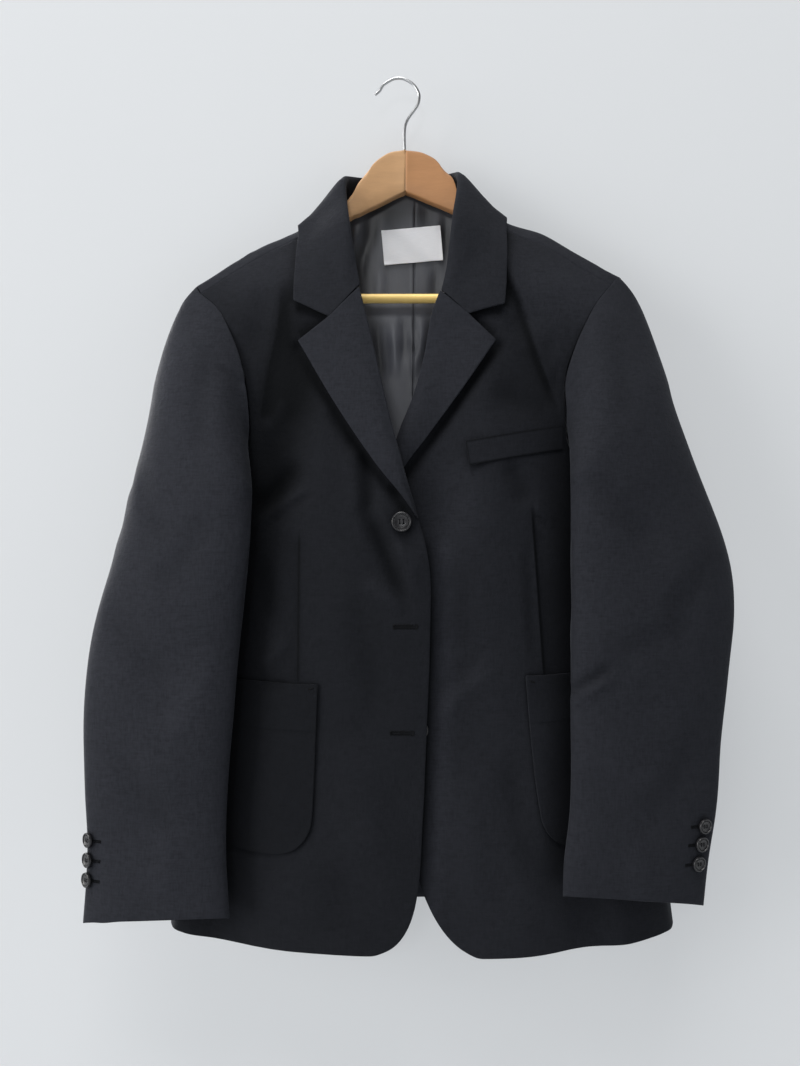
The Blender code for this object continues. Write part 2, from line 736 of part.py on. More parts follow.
def sleeve_rings(arm_points, table):
    """Control rings of a sleeve: the armhole, then the table's rings, as points round the sleeve.

    Steps round the ring start at the underarm, pass the front and the shoulder's top, and end behind.
    """
    count = len(arm_points)
    top_step = ARM_FRONT
    front_angles = np.linspace(math.pi + UNDERARM_TURN, 0, top_step, endpoint=False)
    back_angles = np.linspace(0, UNDERARM_TURN - math.pi, count - top_step, endpoint=False)
    cap_angles = np.concatenate((front_angles, back_angles))
    steps = np.arange(count)
    seams = (FRONT_SEAM_STEP, count - BACK_SEAM_STEP, count + FRONT_SEAM_STEP)
    places = np.where(steps < FRONT_SEAM_STEP, steps + count, steps)
    low_angles = np.interp(places, seams, np.radians((174, -8, -186)))
    cap_angles = np.where(steps < FRONT_SEAM_STEP, cap_angles - 2 * math.pi, cap_angles)
    rings = []
    for number, (ox, oy, oz, ix, iy, iz, half) in enumerate(table):
        share = ease(number, -0.6, 2.5)
        angles = cap_angles * (1 - share) + low_angles * share
        outer, inner = np.array((ox, oy, oz)), np.array((ix, iy, iz))
        across = np.sign(np.cos(angles)) * np.abs(np.cos(angles)) ** SLEEVE_FULL
        deep = np.sign(np.sin(angles)) * np.abs(np.sin(angles)) ** SLEEVE_FULL
        ring = (outer + inner) / 2 + across[:, None] * (outer - inner) / 2
        ring = ring + deep[:, None] * np.array((0, -half, 0))
        if number == len(table) - 1:
            ring[:, 2] += CUFF_RISE * np.abs(np.sin(angles))
        rings.append(ring)
    return cap_angles, rings


def cap_leave(angles, away):
    """Direction and strength in which the cap's cloth leaves the armhole."""
    level = np.cos(angles)
    outwards = 0.92 - level**2 * np.where(level > 0, 0.14, 0.74)
    down = 0.2 + level**2 * np.where(level > 0, 0.42, 0.8)
    forward = 0.34 * np.sin(angles)
    return unit(np.column_stack((away * outwards, -forward, -down)))


def sleeve_points(arm_points, table, away):
    """Outer surface of a sleeve as rows of rings, from the armhole to the cuff."""
    angles, rings = sleeve_rings(arm_points, table)
    stack = np.array([arm_points] + rings)
    reach = np.concatenate(([0], np.cumsum(np.linalg.norm(np.diff(stack.mean(axis=1), axis=0), axis=1))))
    slopes = np.gradient(stack, reach, axis=0)
    first_way = np.linalg.norm(stack[1] - stack[0], axis=1)[:, None]
    leave = cap_leave(angles, away) * first_way * CAP_TANGENT
    arrive = unit(stack[2] - stack[1]) * first_way
    slopes[1] = (stack[2] - stack[1]) / (reach[2] - reach[1])
    cap = reach[1] * np.linspace(0, 1, SLEEVE_CAP_ROWS, endpoint=False) ** 1.05
    places = np.concatenate((cap, np.linspace(reach[1], reach[-1], SLEEVE_ROWS - SLEEVE_CAP_ROWS)))
    rows = []
    for place in places:
        low = min(np.searchsorted(reach, place, side="right") - 1, len(reach) - 2)
        width = reach[low + 1] - reach[low]
        t = (place - reach[low]) / width
        start, end = (leave, arrive) if low == 0 else (width * slopes[low], width * slopes[low + 1])
        row = stack[low] * (1 + 2 * t) * (1 - t) ** 2 + stack[low + 1] * t * t * (3 - 2 * t)
        rows.append(row + start * t * (1 - t) ** 2 - end * t * t * (1 - t))
    return evened(np.array(rows), places / reach[1])


def beside_body(points, fall):
    """Pushes the sleeve out of the body, level by level, until it lies just clear of it."""
    x, y, z = points[..., 0], points[..., 1], points[..., 2]
    clear = (SLEEVE_CLEAR + POCKET_CLEAR * (1 - ease(z, *POCKET_REACH))) * ease(fall, 0, 0.45)[:, None]
    centre, line = middle(z), rest_line(x)
    wide = np.where(x < centre, centre - side_left(z), side_right(z) - centre) + clear
    deep = np.where(y < line, line - depth_front(z), depth_back(z) - line) + clear
    fill = np.sqrt(((x - centre) / wide) ** 2 + ((y - line) / deep) ** 2)
    low = 1 - ease(z, ridge(x) - CAP_DEEP, ridge(x) - CAP_SHALLOW)
    push = 1 + (1 / np.minimum(fill, 1) - 1) * low * (fall[:, None] > 0)
    return np.stack((centre + (x - centre) * push, line + (y - line) * push, z), axis=-1)


def evened(points, fall):
    """Evens out the cloth under the arm and keeps it off the body."""
    rows, count = points.shape[:2]
    beside_arm = np.abs((np.arange(count) + count / 2) % count - count / 2 + 1.8)
    share = 1 - ease(beside_arm, *UNDERARM_COLUMNS)[None, :]
    share = share * (1 - ease(np.arange(rows), *UNDERARM_ROWS))[:, None]
    share[0] = 0
    points = beside_body(points, fall)
    for _ in range(UNDERARM_PASSES):
        above, below = np.roll(points, 1, axis=0), np.roll(points, -1, axis=0)
        beside = np.roll(points, 1, axis=1) + np.roll(points, -1, axis=1)
        mean = (above + below + beside) / 4
        points = beside_body(points + (mean - points) * 0.6 * share[..., None], fall)
    return points


def evened_inward(inward):
    """Evens out the wall's direction, ring by ring, so that its two skins can't cross."""
    for _ in range(3):
        beside = np.roll(inward, 1, axis=1) + np.roll(inward, -1, axis=1)
        beyond = inward.copy()
        beyond[1:-1] = (inward[:-2] + inward[2:]) / 2
        inward = unit(inward * 2 + beside + beyond)
    return inward


def sleeve_folded(points, normals):
    """Folds of the front face, faded out towards the edges and the back."""
    height = fold_height(points[..., 0], points[..., 2], SLEEVE_FOLDS)
    return points + normals * (height * np.clip(-normals[..., 1], 0, 1) ** 2)[..., None]


# ---------------------------------------------------------------- collar and lapels


def surface_point(x, z, side):
    return np.array((x, float(front_y(x, z) if side > 0 else back_y(x, z)), z))


def surface_normal(x, z, side):
    """Outward normal of the front, side 1, or of the back, side -1."""
    surface, step = (front_y if side > 0 else back_y), 0.5
    slope_x = float(surface(x + step, z) - surface(x - step, z)) / (2 * step)
    slope_z = float(surface(x, z + step) - surface(x, z - step)) / (2 * step)
    return unit(np.array((slope_x, -1, slope_z))) * side


def through(stations, steps):
    """Smooth curve through 3-D stations, with some steps from each to the next."""
    stations = np.array(stations)
    numbers = np.arange(len(stations))
    places = np.linspace(0, len(stations) - 1, (len(stations) - 1) * steps + 1)
    return np.column_stack([smooth(np.column_stack((numbers, stations[:, i])))(places) for i in range(3)])


def arc_between(start, leave, end, arrive, places):
    """Points of a Hermite curve between rows of start and end points."""
    t = places[None, :, None]
    curve = start[:, None] * (1 + 2 * t) * (1 - t) ** 2 + end[:, None] * t * t * (3 - 2 * t)
    return curve + leave[:, None] * t * (1 - t) ** 2 - arrive[:, None] * t * t * (1 - t)


def gorge_edge(corner, notch, fold):
    """End of the leaf from its corner down to the notch, and along the gorge seam to the fold: x, z."""
    corner, notch, fold = np.array(corner), np.array(notch), np.array(fold)
    edge_share = np.linspace(0, 1, LEAF_COLUMNS - GORGE_COLUMNS)[:, None]
    seam_share = (np.linspace(0, 1, GORGE_COLUMNS + 1)[1:, None]) ** 0.8
    return np.vstack((corner + (notch - corner) * edge_share, notch + (fold - notch) * seam_share))


def turn_strength(way):
    """Length of a Hermite tangent that gives the fold its radius."""
    return np.sqrt(4 * np.linalg.norm(way, axis=1) * COLLAR_TURN)[:, None]


def collar_points():
    """Outer surface of the collar: rows round the neck, columns from the leaf's edge over the fold."""
    foot = through([surface_point(*row[0:3]) for row in COLLAR], COLLAR_STEPS)
    fold = through([row[3:6] for row in COLLAR], COLLAR_STEPS)
    edges = [surface_point(*row[6:9]) + surface_normal(*row[6:9]) * row[9] for row in COLLAR]
    edge = through(edges, COLLAR_STEPS)
    rows = len(fold)
    from_end = np.minimum(np.arange(rows), np.arange(rows)[::-1])
    flat = (1 - ease(from_end, COLLAR_STEPS, 4 * COLLAR_STEPS))[:, None]
    over = unit(np.cross(np.gradient(fold, axis=0), edge - fold))
    to_neck = np.array((0, NECK_MIDDLE, 0)) - fold
    over = over * np.sign(np.sum(over * to_neck * (1, 1, 0), axis=1, keepdims=True))
    over = unit(over * (1 - flat) + np.array((0, 1, 0)) * flat)
    leaf_turn = over * turn_strength(fold - edge)
    stand_turn = over * turn_strength(foot - fold)
    leaf_places = 1 - np.linspace(1, 0, LEAF_COLUMNS) ** 1.5
    beside = np.clip(np.abs(fold[:, 0:1]) / np.abs(fold[:, 0]).max(), 0, 1) ** 2
    leave = fold - edge + leaf_turn * LEAF_DIP * beside
    leaf = arc_between(edge, leave, fold, leaf_turn, leaf_places)
    stand_places = np.linspace(0, 1, STAND_COLUMNS + 1)[1:] ** 1.2
    seat = (foot - fold) * (1 - flat) + unit(edge - fold) * np.linalg.norm(stand_turn, axis=1)[:, None] * flat
    stand = arc_between(fold, stand_turn, foot, seat, stand_places)
    for end, notch in ((0, RIGHT_NOTCH), (-1, LEFT_NOTCH)):
        line = gorge_edge(leaf[end, 0, [0, 2]], notch, fold[end, [0, 2]])
        change = line - leaf[end][:, [0, 2]]
        for row in range(GORGE_FADE):
            place = row if end == 0 else -1 - row
            leaf[place][:, [0, 2]] += change * (1 - row / GORGE_FADE) ** 1.5
    x, y, z = leaf[..., 0], leaf[..., 1], leaf[..., 2]
    ahead = (from_end < 4.5 * COLLAR_STEPS)[:, None] * (1 - np.linspace(0, 1, LEAF_COLUMNS)[None, :] ** 9)
    leaf[..., 1] = y + np.minimum(front_y(x, z) - COLLAR_CLEAR - y, 0) * ahead
    return np.concatenate((leaf, stand), axis=1)


def in_plane(directions, line):
    """Turns directions into the upright plane through a line in x, z."""
    normal = np.array((line[1], 0, -line[0]))
    return unit(directions - (directions @ normal)[:, None] * normal)


def collar():
    points = collar_points()
    normals = grid_normals(points)
    leaf_out = points[:, LEAF_COLUMNS // 2] - points[:, -1]
    normals = facing(normals, leaf_out[:, None, :])
    inward = -normals
    for end, notch in ((0, RIGHT_NOTCH), (-1, LEFT_NOTCH)):
        fold = points[end, LEAF_COLUMNS - 1, [0, 2]]
        inward[end] = in_plane(inward[end], unit(np.array(notch) - fold))
    points = draw_in(points, low=SEAM / 2, high=SEAM / 2)
    from_fold = np.arange(points.shape[1]) - (LEAF_COLUMNS - 1)
    thin = 1 - FOLD_THIN * np.exp(-((from_fold / 1.3) ** 2))
    return wall("collar", points, inward * thin[None, :, None], CLOTH, WOOL)


def lapel_lift(across, down):
    """How far a lapel stands off the front, from its roll line (0) to its edge (1)."""
    middle_lift = ROLL_DEPTH * (1 - across) + LAPEL_EDGE_LIFT * across
    middle_lift = middle_lift + (LAPEL_LIFT - ROLL_DEPTH) * np.sin(math.pi * across**0.8)
    return middle_lift * (1 - 0.12 * down)


def lapel(name, roll, edge, notch, surface):
    """A lapel: rows from the gorge down to the break, columns from behind its roll line to its edge."""
    inner = along(roll, LAPEL_ROWS, LAPEL_END)[::-1]
    outer = along(edge, LAPEL_ROWS, LAPEL_END * 1.65)[::-1]
    notch = np.array(notch)
    seam_share = np.linspace(0, 1, LAPEL_COLUMNS // 2 + 1)[:, None]
    edge_share = np.linspace(0, 1, LAPEL_COLUMNS - LAPEL_COLUMNS // 2)[1:, None]
    gorge = notch - inner[0]
    run = unit(np.gradient(inner, axis=0))
    to_neck = np.column_stack((run[:, 1], -run[:, 0]))
    to_neck = to_neck * np.sign(np.sum(to_neck * (inner - outer), axis=1))[:, None]
    fade = (1 - ease(np.arange(LAPEL_ROWS), 0, 3))[:, None]
    to_neck = unit(to_neck * (1 - fade) - unit(gorge) * fade)
    radius = ROLL_DEPTH / 2
    start = inner - to_neck * radius
    top = np.vstack((start[0] + (notch - start[0]) * seam_share, notch + (outer[0] - notch) * edge_share))
    bottom = start[-1] + (outer[-1] - start[-1]) * np.linspace(0, 1, LAPEL_COLUMNS)[:, None]
    plan = patch(start, outer, top, bottom)
    across = np.linspace(0, 1, LAPEL_COLUMNS)[None, :]
    down = np.linspace(0, 1, LAPEL_ROWS)[:, None]
    face = panel_points(plan, surface)
    face[..., 1] -= lapel_lift(across, down)
    angles = np.linspace(-math.pi / 2, math.pi / 2, TURN_COLUMNS, endpoint=False)
    turn = np.zeros((LAPEL_ROWS, TURN_COLUMNS, 3))
    depth = lapel_lift(0, down) / 2
    turn[..., [0, 2]] = start[:, None] + to_neck[:, None] * radius * np.cos(angles)[None, :, None]
    turn[..., 1] = surface(start[:, 0], start[:, 1])[:, None] - depth * (1 + np.sin(angles)[None, :])
    points = np.concatenate((turn, face), axis=1)
    normals = grid_normals(points)
    if np.sum(normals[:, -2, 1]) > 0:
        normals = -normals
    inward = -normals
    inward[0] = in_plane(inward[0], unit(gorge))
    points = draw_in(points, low=SEAM / 2)
    return wall(name, points, inward, CLOTH, WOOL)


# ---------------------------------------------------------------- pieces on the fronts


def laid_on_front(name, x, z):
    """A pocket's piece: its plan raised on to the front and moved out."""
    points = panel_points(np.stack((x, z), axis=-1), front_y)
    normals = facing(grid_normals(points), np.array((0, -1.0, 0)))
    return wall(name, points + normals * (LAY + POCKET_CLOTH), -normals, POCKET_CLOTH, WOOL)


def pocket(name, table):
    """Patch pocket with round lower corners: rows from the foot up, columns outwards."""
    inner_top, inner_foot, outer, top, foot, radius = table
    away = np.sign(outer - inner_top)
    rise = np.linspace(0, 1, POCKET_STEPS) ** 1.7 * (top - foot)
    corner = np.clip(radius - rise, 0, radius)
    cut = radius - np.sqrt(radius**2 - corner**2)
    above_corner = np.clip((rise - radius) / (top - foot - radius), 0, 1)
    inner = inner_foot + (inner_top - inner_foot) * above_corner**0.7 + away * cut
    outer = outer - away * cut
    share = np.linspace(0, 1, POCKET_STEPS)[None, :]
    x = inner[:, None] + (outer - inner)[:, None] * share
    z = (foot + rise)[:, None] + 0 * x
    return laid_on_front(name, x, z)


def breast_welt():
    inner_x, inner_top, outer_x, outer_top, height = WELT
    u = np.linspace(0, 1, 10)[None, :]
    v = np.linspace(0, 1, 4)[:, None]
    x = inner_x + (outer_x - inner_x) * u + WELT_SLANT * (1 - v) * (1 - u)
    z = inner_top + (outer_top - inner_top) * u - height * (1 - v)
    return laid_on_front("breast_welt", x, z)


# ---------------------------------------------------------------- buttons


def turned(name, profile, centre, axis, sides, look):
    """Solid turned round an axis: the profile's rows are radius and height over the centre."""
    axis = unit(np.array(axis, float))
    first = unit(np.cross(axis, (0.0, 0.0, 1.0)))
    second = np.cross(axis, first)
    mesh = bmesh.new()
    rings = []
    for radius, height in profile:
        base = np.array(centre) + axis * height
        if radius == 0:
            rings.append([mesh.verts.new(base * MM)])
            continue
        angles = [2 * math.pi * k / sides for k in range(sides)]
        around = [base + radius * (first * math.cos(a) + second * math.sin(a)) for a in angles]
        rings.append([mesh.verts.new(point * MM) for point in around])
    for low, high in zip(rings, rings[1:]):
        for k in range(sides):
            after = k + 1
            corners = [low[k % len(low)], low[after % len(low)], high[after % len(high)], high[k % len(high)]]
            mesh.faces.new(list(dict.fromkeys(corners)))
    return finish_mesh(mesh, name, look, 30)


def button(name, size, seat, axis):
    """Button with a raised rim and a dished middle, its back LAY off the cloth."""
    radius, thick = size[0] / 2, size[1]
    profile = (
        (0, 0),
        (radius * 0.72, 0),
        (radius, thick * 0.45),
        (radius * 0.98, thick * 0.85),
        (radius * 0.88, thick),
        (radius * 0.74, thick * 0.92),
        (radius * 0.62, thick * 0.66),
        (0, thick * 0.62),
    )
    return turned(name, profile, np.array(seat) + unit(np.array(axis)) * LAY, axis, BUTTON_SIDES, HORN)


def front_buttons():
    """One button fastened on the right front, two on the left front behind it."""
    for number, (x, z) in enumerate(FRONT_BUTTONS, 1):
        surface = front_y if number == 1 else under_y
        seat = (x, float(surface(x, z)), z)
        button(f"button_front_{number}", FRONT_BUTTON, seat, surface_normal(x, z, 1))


def cuff_buttons(side_name, points, normals, spots):
    """Buttons on a sleeve at a height and a column of its grid."""
    for number, (z, column) in enumerate(spots, 1):
        low = int(column)
        share = column - low
        line = points[:, low] * (1 - share) + points[:, low + 1] * share
        out = normals[:, low] * (1 - share) + normals[:, low + 1] * share
        order = np.argsort(line[:, 2])
        seat = [np.interp(z, line[order, 2], line[order, i]) for i in range(3)]
        axis = unit(np.array([np.interp(z, line[order, 2], out[order, i]) for i in range(3)]))
        button(f"button_cuff_{side_name}_{number}", CUFF_BUTTON, seat, axis)


# ---------------------------------------------------------------- garment


def side_of_body(
    side_name, edge, roll, neck_rows, back_rows, arm_front, arm_back, surface, side, away, sleeve
):
    """One side of the garment: its front, its half of the back, and its sleeve."""
    arm_front = np.array(arm_front, float)
    plan = front_plan(np.array(edge), roll, neck_rows, arm_front, side, away)
    front = panel_points(plan, surface)
    front_in = side_inward(-facing(grid_normals(front), np.array((0, -1.0, 0))), away)
    flat = back_plan(back_rows, plan[-1], arm_back, side, away)
    back = unrolled(flat[..., 0], flat[..., 1])
    back_normals = grid_normals(back)
    sign = 1 if back_normals[3, 3, 1] > 0 else -1
    back_in = side_inward(-back_normals * sign, away)
    back_in[:, 0] = in_plane(back_in[:, 0], np.array((0.0, 1.0)))

    start = SIDE_ROWS - 1
    front_arm, back_arm = front[start:, -1], back[start:, -1]
    ring = np.vstack((front_arm, back_arm[-2:0:-1]))
    ring_in = np.vstack((front_in[start:, -1], back_in[start:, -1][-2:0:-1]))
    ring_in[ARM_FRONT - 1] = unit(front_in[-1, -1] + back_in[-1, -1])
    points = sleeve_points(ring, sleeve, away)
    normals = facing(grid_normals(points, wrap=True), points - points.mean(axis=1, keepdims=True))
    points = sleeve_folded(points, normals)
    points[0] = ring
    sleeve_in = evened_inward(-normals)
    body_edge, sleeve_edge = seam_inward(ring_in, sleeve_in[0])
    sleeve_in[0] = sleeve_edge
    front_in[start:, -1] = body_edge[:ARM_FRONT]
    back_in[start + 1 : -1, -1] = body_edge[ARM_FRONT:][::-1]
    back_in[start, -1] = body_edge[0]
    back_in[-1, -1] = body_edge[ARM_FRONT - 1]
    seam_in = unit(front_in[-1, :-1] + back_in[-1, :-1])
    front_in[-1, :-1] = seam_in
    back_in[-1, :-1] = seam_in

    gap = SEAM / 2
    wall(f"front_{side_name}", draw_in(front, right=gap, high=gap), front_in, CLOTH, WOOL)
    wall(f"back_{side_name}", draw_in(back, left=gap, right=gap, high=gap), back_in, CLOTH, WOOL)
    count = points.shape[1]
    stretches = (
        ("sleeve_top", FRONT_SEAM_STEP, count - BACK_SEAM_STEP),
        ("sleeve_under", count - BACK_SEAM_STEP, count + FRONT_SEAM_STEP),
    )
    for piece, first, last in stretches:
        columns = np.arange(first, last + 1) % count
        cut = draw_in(points[:, columns], left=gap, right=gap, low=gap)
        wall(f"{piece}_{side_name}", cut, sleeve_in[:, columns], CLOTH, WOOL)
    return points, normals


def lining_plan():
    """Plan x, z of the back lining: rows from its hem up, columns from right to left."""
    z = np.linspace(LINING_SIDES[0][0], LINING_SIDES[-1][0], LINING_ROWS)
    right = np.column_stack((smooth(LINING_SIDES, 0, 1)(z), z))
    left = np.column_stack((smooth(LINING_SIDES, 0, 2)(z), z))
    x = np.linspace(right[-1, 0], left[-1, 0], LINING_COLUMNS)
    top = np.column_stack((x, np.minimum(ridge(x) - LINING_DROP, LINING_TOP)))
    right[-1], left[-1] = top[0], top[-1]
    low_x = np.linspace(right[0, 0], left[0, 0], LINING_COLUMNS)
    bottom = np.column_stack((low_x, np.full(LINING_COLUMNS, z[0])))
    return patch(right, left, bottom, top)


def lining_points():
    points = panel_points(lining_plan(), back_y)
    points[..., 1] -= CLOTH + LINING_SPACE
    return points


def back_lining():
    points = lining_points()
    normals = facing(grid_normals(points), np.array((0, -1.0, 0)))
    return wall("lining_back", points, normals, LINING, SATIN)


def label():
    """Blank woven label on the lining, below the neck."""
    x, z, width, height, turn = LABEL
    u, v = np.meshgrid(np.linspace(-0.5, 0.5, 8), np.linspace(-0.5, 0.5, 5))
    c, s = math.cos(math.radians(turn)), math.sin(math.radians(turn))
    plan = np.stack((x + u * width * c - v * height * s, z + u * width * s + v * height * c), axis=-1)
    points = panel_points(plan, back_y)
    points[..., 1] -= CLOTH + LINING_SPACE + LINING + LAY
    inward = np.zeros_like(points)
    inward[..., 1] = -1
    return wall("label", points, inward, LABEL_CLOTH, WHITE)


# ---------------------------------------------------------------- hanger


def arm_y(x):
    """The arms come forward as they leave the head."""
    return (rest_line(x) + 1.5) * ease(abs(x), 0, 60)


def hanger_arm(name, table, away):
    """Wooden arm with a half round top and a straight cut underside, in sections across X."""
    rows = np.array(table, float)
    top_at = smooth(rows, 0, 1)
    head = np.linspace(rows[0, 0], HEAD_REACH, HEAD_SECTIONS)
    places = np.concatenate((head, np.linspace(ARM_START, rows[-1, 0], ARM_SECTIONS)))
    half = WOOD / 2
    mesh = bmesh.new()
    rings = []
    for place in places:
        x = HEAD_X + away * place
        shoulder = float(top_at(place)) - half
        foot = float(np.interp(place, rows[:, 0], rows[:, 2]))
        outline = [(half * math.cos(a), shoulder + half * math.sin(a)) for a in np.linspace(0, math.pi, 7)]
        outline += [(-half, foot + WOOD_EDGE), (-half + WOOD_EDGE, foot)]
        outline += [(half - WOOD_EDGE, foot), (half, foot + WOOD_EDGE)]
        rings.append([mesh.verts.new((x * MM, (arm_y(x) + y) * MM, z * MM)) for y, z in outline])
    join_rings(mesh, rings)
    return finish_mesh(mesh, name, WOOD_LOOK, 35)


def join_rings(mesh, rings):
    """Skin over rings of points, closed at both ends."""
    count = len(rings[0])
    for low, high in zip(rings, rings[1:]):
        for k in range(count):
            mesh.faces.new((low[k], low[(k + 1) % count], high[(k + 1) % count], high[k]))
    mesh.faces.new(rings[0])
    mesh.faces.new(rings[-1])


def hanger_bar():
    radius = BAR_DIAMETER / 2
    y = float(arm_y(abs(BAR_ENDS[0])))
    angles = [2 * math.pi * k / BAR_SIDES for k in range(BAR_SIDES)]
    section = [(y + radius * math.cos(a), BAR_Z + radius * math.sin(a)) for a in angles]
    mesh = bmesh.new()
    rings = []
    for x in np.linspace(*BAR_ENDS, BAR_SECTIONS):
        rings.append([mesh.verts.new((x * MM, y * MM, z * MM)) for y, z in section])
    join_rings(mesh, rings)
    return finish_mesh(mesh, "hanger_bar", BAR_LOOK, 40)


def hanger_hook():
    """Bent wire, as a curve with a round bevel and capped ends."""
    route = along(HOOK, (len(HOOK) - 1) * HOOK_STEPS + 1)
    curve = bpy.data.curves.new("hanger_hook", "CURVE")
    curve.dimensions = "3D"
    curve.bevel_depth = WIRE / 2 * MM
    curve.bevel_resolution = 2
    curve.use_fill_caps = True
    spline = curve.splines.new("POLY")
    spline.points.add(len(route) - 1)
    for point, (x, z) in zip(spline.points, route):
        point.co = (x * MM, 0, z * MM, 1)
    curve.materials.append(STEEL)
    made = bpy.data.objects.new("hanger_hook", curve)
    bpy.context.scene.collection.objects.link(made)
    return made


# ---------------------------------------------------------------- the whole object

for old in list(bpy.data.objects):
    bpy.data.objects.remove(old)

WOOL = material("charcoal_wool", (0.018, 0.020, 0.024), 0.85)
SATIN = material("grey_satin", (0.06, 0.06, 0.065), 0.45)
WHITE = material("white_weave", (0.75, 0.75, 0.75), 0.8)
HORN = material("black_horn", (0.012, 0.013, 0.015), 0.35)
WOOD_LOOK = material("beech", (0.48, 0.27, 0.13), 0.45)
BAR_LOOK = material("beech_bar", (0.50, 0.33, 0.16), 0.45)
STEEL = material("bright_steel", (0.75, 0.76, 0.78), 0.2, 1.0)

right_neck = foot_plan(0, RIGHT_SHOULDER_STATION)
left_neck = foot_plan(LEFT_SHOULDER_STATION, len(COLLAR) - 1)[::-1]
right_back = foot_plan(RIGHT_SHOULDER_STATION, MIDDLE_STATION)[::-1]
left_back = foot_plan(MIDDLE_STATION, LEFT_SHOULDER_STATION)

right_sleeve, right_normals = side_of_body(
    "right", OVER_EDGE, RIGHT_ROLL[:-1], right_neck, right_back, RIGHT_ARM_FRONT, RIGHT_ARM_BACK,
    front_y, side_left, -1, RIGHT_SLEEVE,
)
left_sleeve, left_normals = side_of_body(
    "left", UNDER_EDGE, LEFT_ROLL[:-1], left_neck, left_back, LEFT_ARM_FRONT, LEFT_ARM_BACK,
    under_y, side_right, 1, LEFT_SLEEVE,
)
collar()
lapel("lapel_right", RIGHT_ROLL, RIGHT_LAPEL, RIGHT_NOTCH, front_y)
lapel("lapel_left", LEFT_ROLL, LEFT_LAPEL, LEFT_NOTCH, under_y)
pocket("pocket_right", RIGHT_POCKET)
pocket("pocket_left", LEFT_POCKET)
breast_welt()
front_buttons()
cuff_buttons("right", right_sleeve, right_normals, RIGHT_CUFF_BUTTONS)
cuff_buttons("left", left_sleeve, left_normals, LEFT_CUFF_BUTTONS)
back_lining()
label()
hanger_arm("hanger_arm_right", RIGHT_ARM, -1)
hanger_arm("hanger_arm_left", LEFT_ARM, 1)
hanger_bar()
hanger_hook()
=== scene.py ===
import math

import bmesh
import bpy
import numpy as np
from bpy.props import FloatProperty, FloatVectorProperty, IntProperty, PointerProperty
from mathutils import Matrix, Vector, noise
from mathutils.bvhtree import BVHTree


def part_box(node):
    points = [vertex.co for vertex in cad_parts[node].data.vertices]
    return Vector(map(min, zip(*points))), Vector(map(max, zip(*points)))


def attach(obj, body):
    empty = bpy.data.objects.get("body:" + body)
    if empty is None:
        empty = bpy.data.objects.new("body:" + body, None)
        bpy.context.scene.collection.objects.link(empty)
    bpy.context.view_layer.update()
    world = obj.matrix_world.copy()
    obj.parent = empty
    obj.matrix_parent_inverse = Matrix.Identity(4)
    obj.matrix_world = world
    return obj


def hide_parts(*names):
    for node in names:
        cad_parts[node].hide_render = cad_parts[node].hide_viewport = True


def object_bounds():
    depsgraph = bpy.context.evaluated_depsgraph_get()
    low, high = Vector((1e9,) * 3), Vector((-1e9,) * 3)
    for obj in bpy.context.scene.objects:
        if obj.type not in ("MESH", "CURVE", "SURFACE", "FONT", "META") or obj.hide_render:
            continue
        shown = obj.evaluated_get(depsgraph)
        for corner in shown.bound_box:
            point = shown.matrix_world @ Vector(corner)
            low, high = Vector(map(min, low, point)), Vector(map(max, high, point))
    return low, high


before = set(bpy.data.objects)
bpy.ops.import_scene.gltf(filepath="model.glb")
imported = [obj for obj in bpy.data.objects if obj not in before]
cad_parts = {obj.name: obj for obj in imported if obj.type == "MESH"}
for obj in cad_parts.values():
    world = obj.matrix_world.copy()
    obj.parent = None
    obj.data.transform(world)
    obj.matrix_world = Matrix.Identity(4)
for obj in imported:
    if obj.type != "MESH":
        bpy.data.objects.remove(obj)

bl_info = {
    "name": "Single breasted blazer on a hanger",
    "version": (1, 0, 0),
    "blender": (4, 5, 0),
    "location": "3D View > Sidebar > Blazer",
    "description": "Dresses the solids of a single breasted blazer and of its wooden hanger",
    "category": "Object",
}

MM = 0.001
LOW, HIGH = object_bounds()  # the solids' box

# Cloth walls
WELD = 0.00002
EDGE_CREASE = 0.82
TRUE_ROUNDS = 5  # rounds that bring the subdivided wall back through the solid's points
BODY_SIDE = 60  # mm in from the side seam over which the front's folds die out

# Each wool piece: times subdivided, turn of its grain in degrees, the share of the cloth's colour that it
# takes, painted lighter or darker for the light and shade that fall on it, and the piece that was cut
# for it: width and length in metres, its area in square metres, and what it hangs from
WOOL_PIECES = {
    "front_right": (3, 0, 0.42, (0.330, 0.820, 0.182), ("hanger_arm_right", "lining_back")),
    "front_left": (3, 0, 0.58, (0.335, 0.830, 0.190), ("hanger_arm_left", "lining_back")),
    "back_right": (2, 0, 0.8, (0.285, 0.815, 0.192), ("hanger_arm_right",)),
    "back_left": (2, 0, 0.8, (0.320, 0.820, 0.212), ("hanger_arm_left",)),
    "sleeve_top_right": (3, 8, 0.94, (0.235, 0.680, 0.124), ("front_right", "back_right")),
    "sleeve_under_right": (2, 8, 0.85, (0.165, 0.570, 0.085), ("front_right", "back_right")),
    "sleeve_top_left": (3, -8, 0.8, (0.240, 0.685, 0.130), ("front_left", "back_left")),
    "sleeve_under_left": (2, -8, 0.8, (0.170, 0.575, 0.088), ("front_left", "back_left")),
    "collar": (3, 0, 0.66, (0.420, 0.125, 0.042), ("back_right", "back_left")),
    "lapel_right": (3, -12, 0.86, (0.100, 0.230, 0.0125), ("front_right",)),
    "lapel_left": (3, 12, 0.84, (0.095, 0.215, 0.0108), ("front_left",)),
    "pocket_right": (3, 0, 0.28, (0.135, 0.205, 0.0232), ("front_right",)),
    "pocket_left": (3, 0, 0.52, (0.135, 0.205, 0.0230), ("front_left",)),
    "breast_welt": (3, 3, 0.56, (0.112, 0.040, 0.0036), ("front_left",)),
}

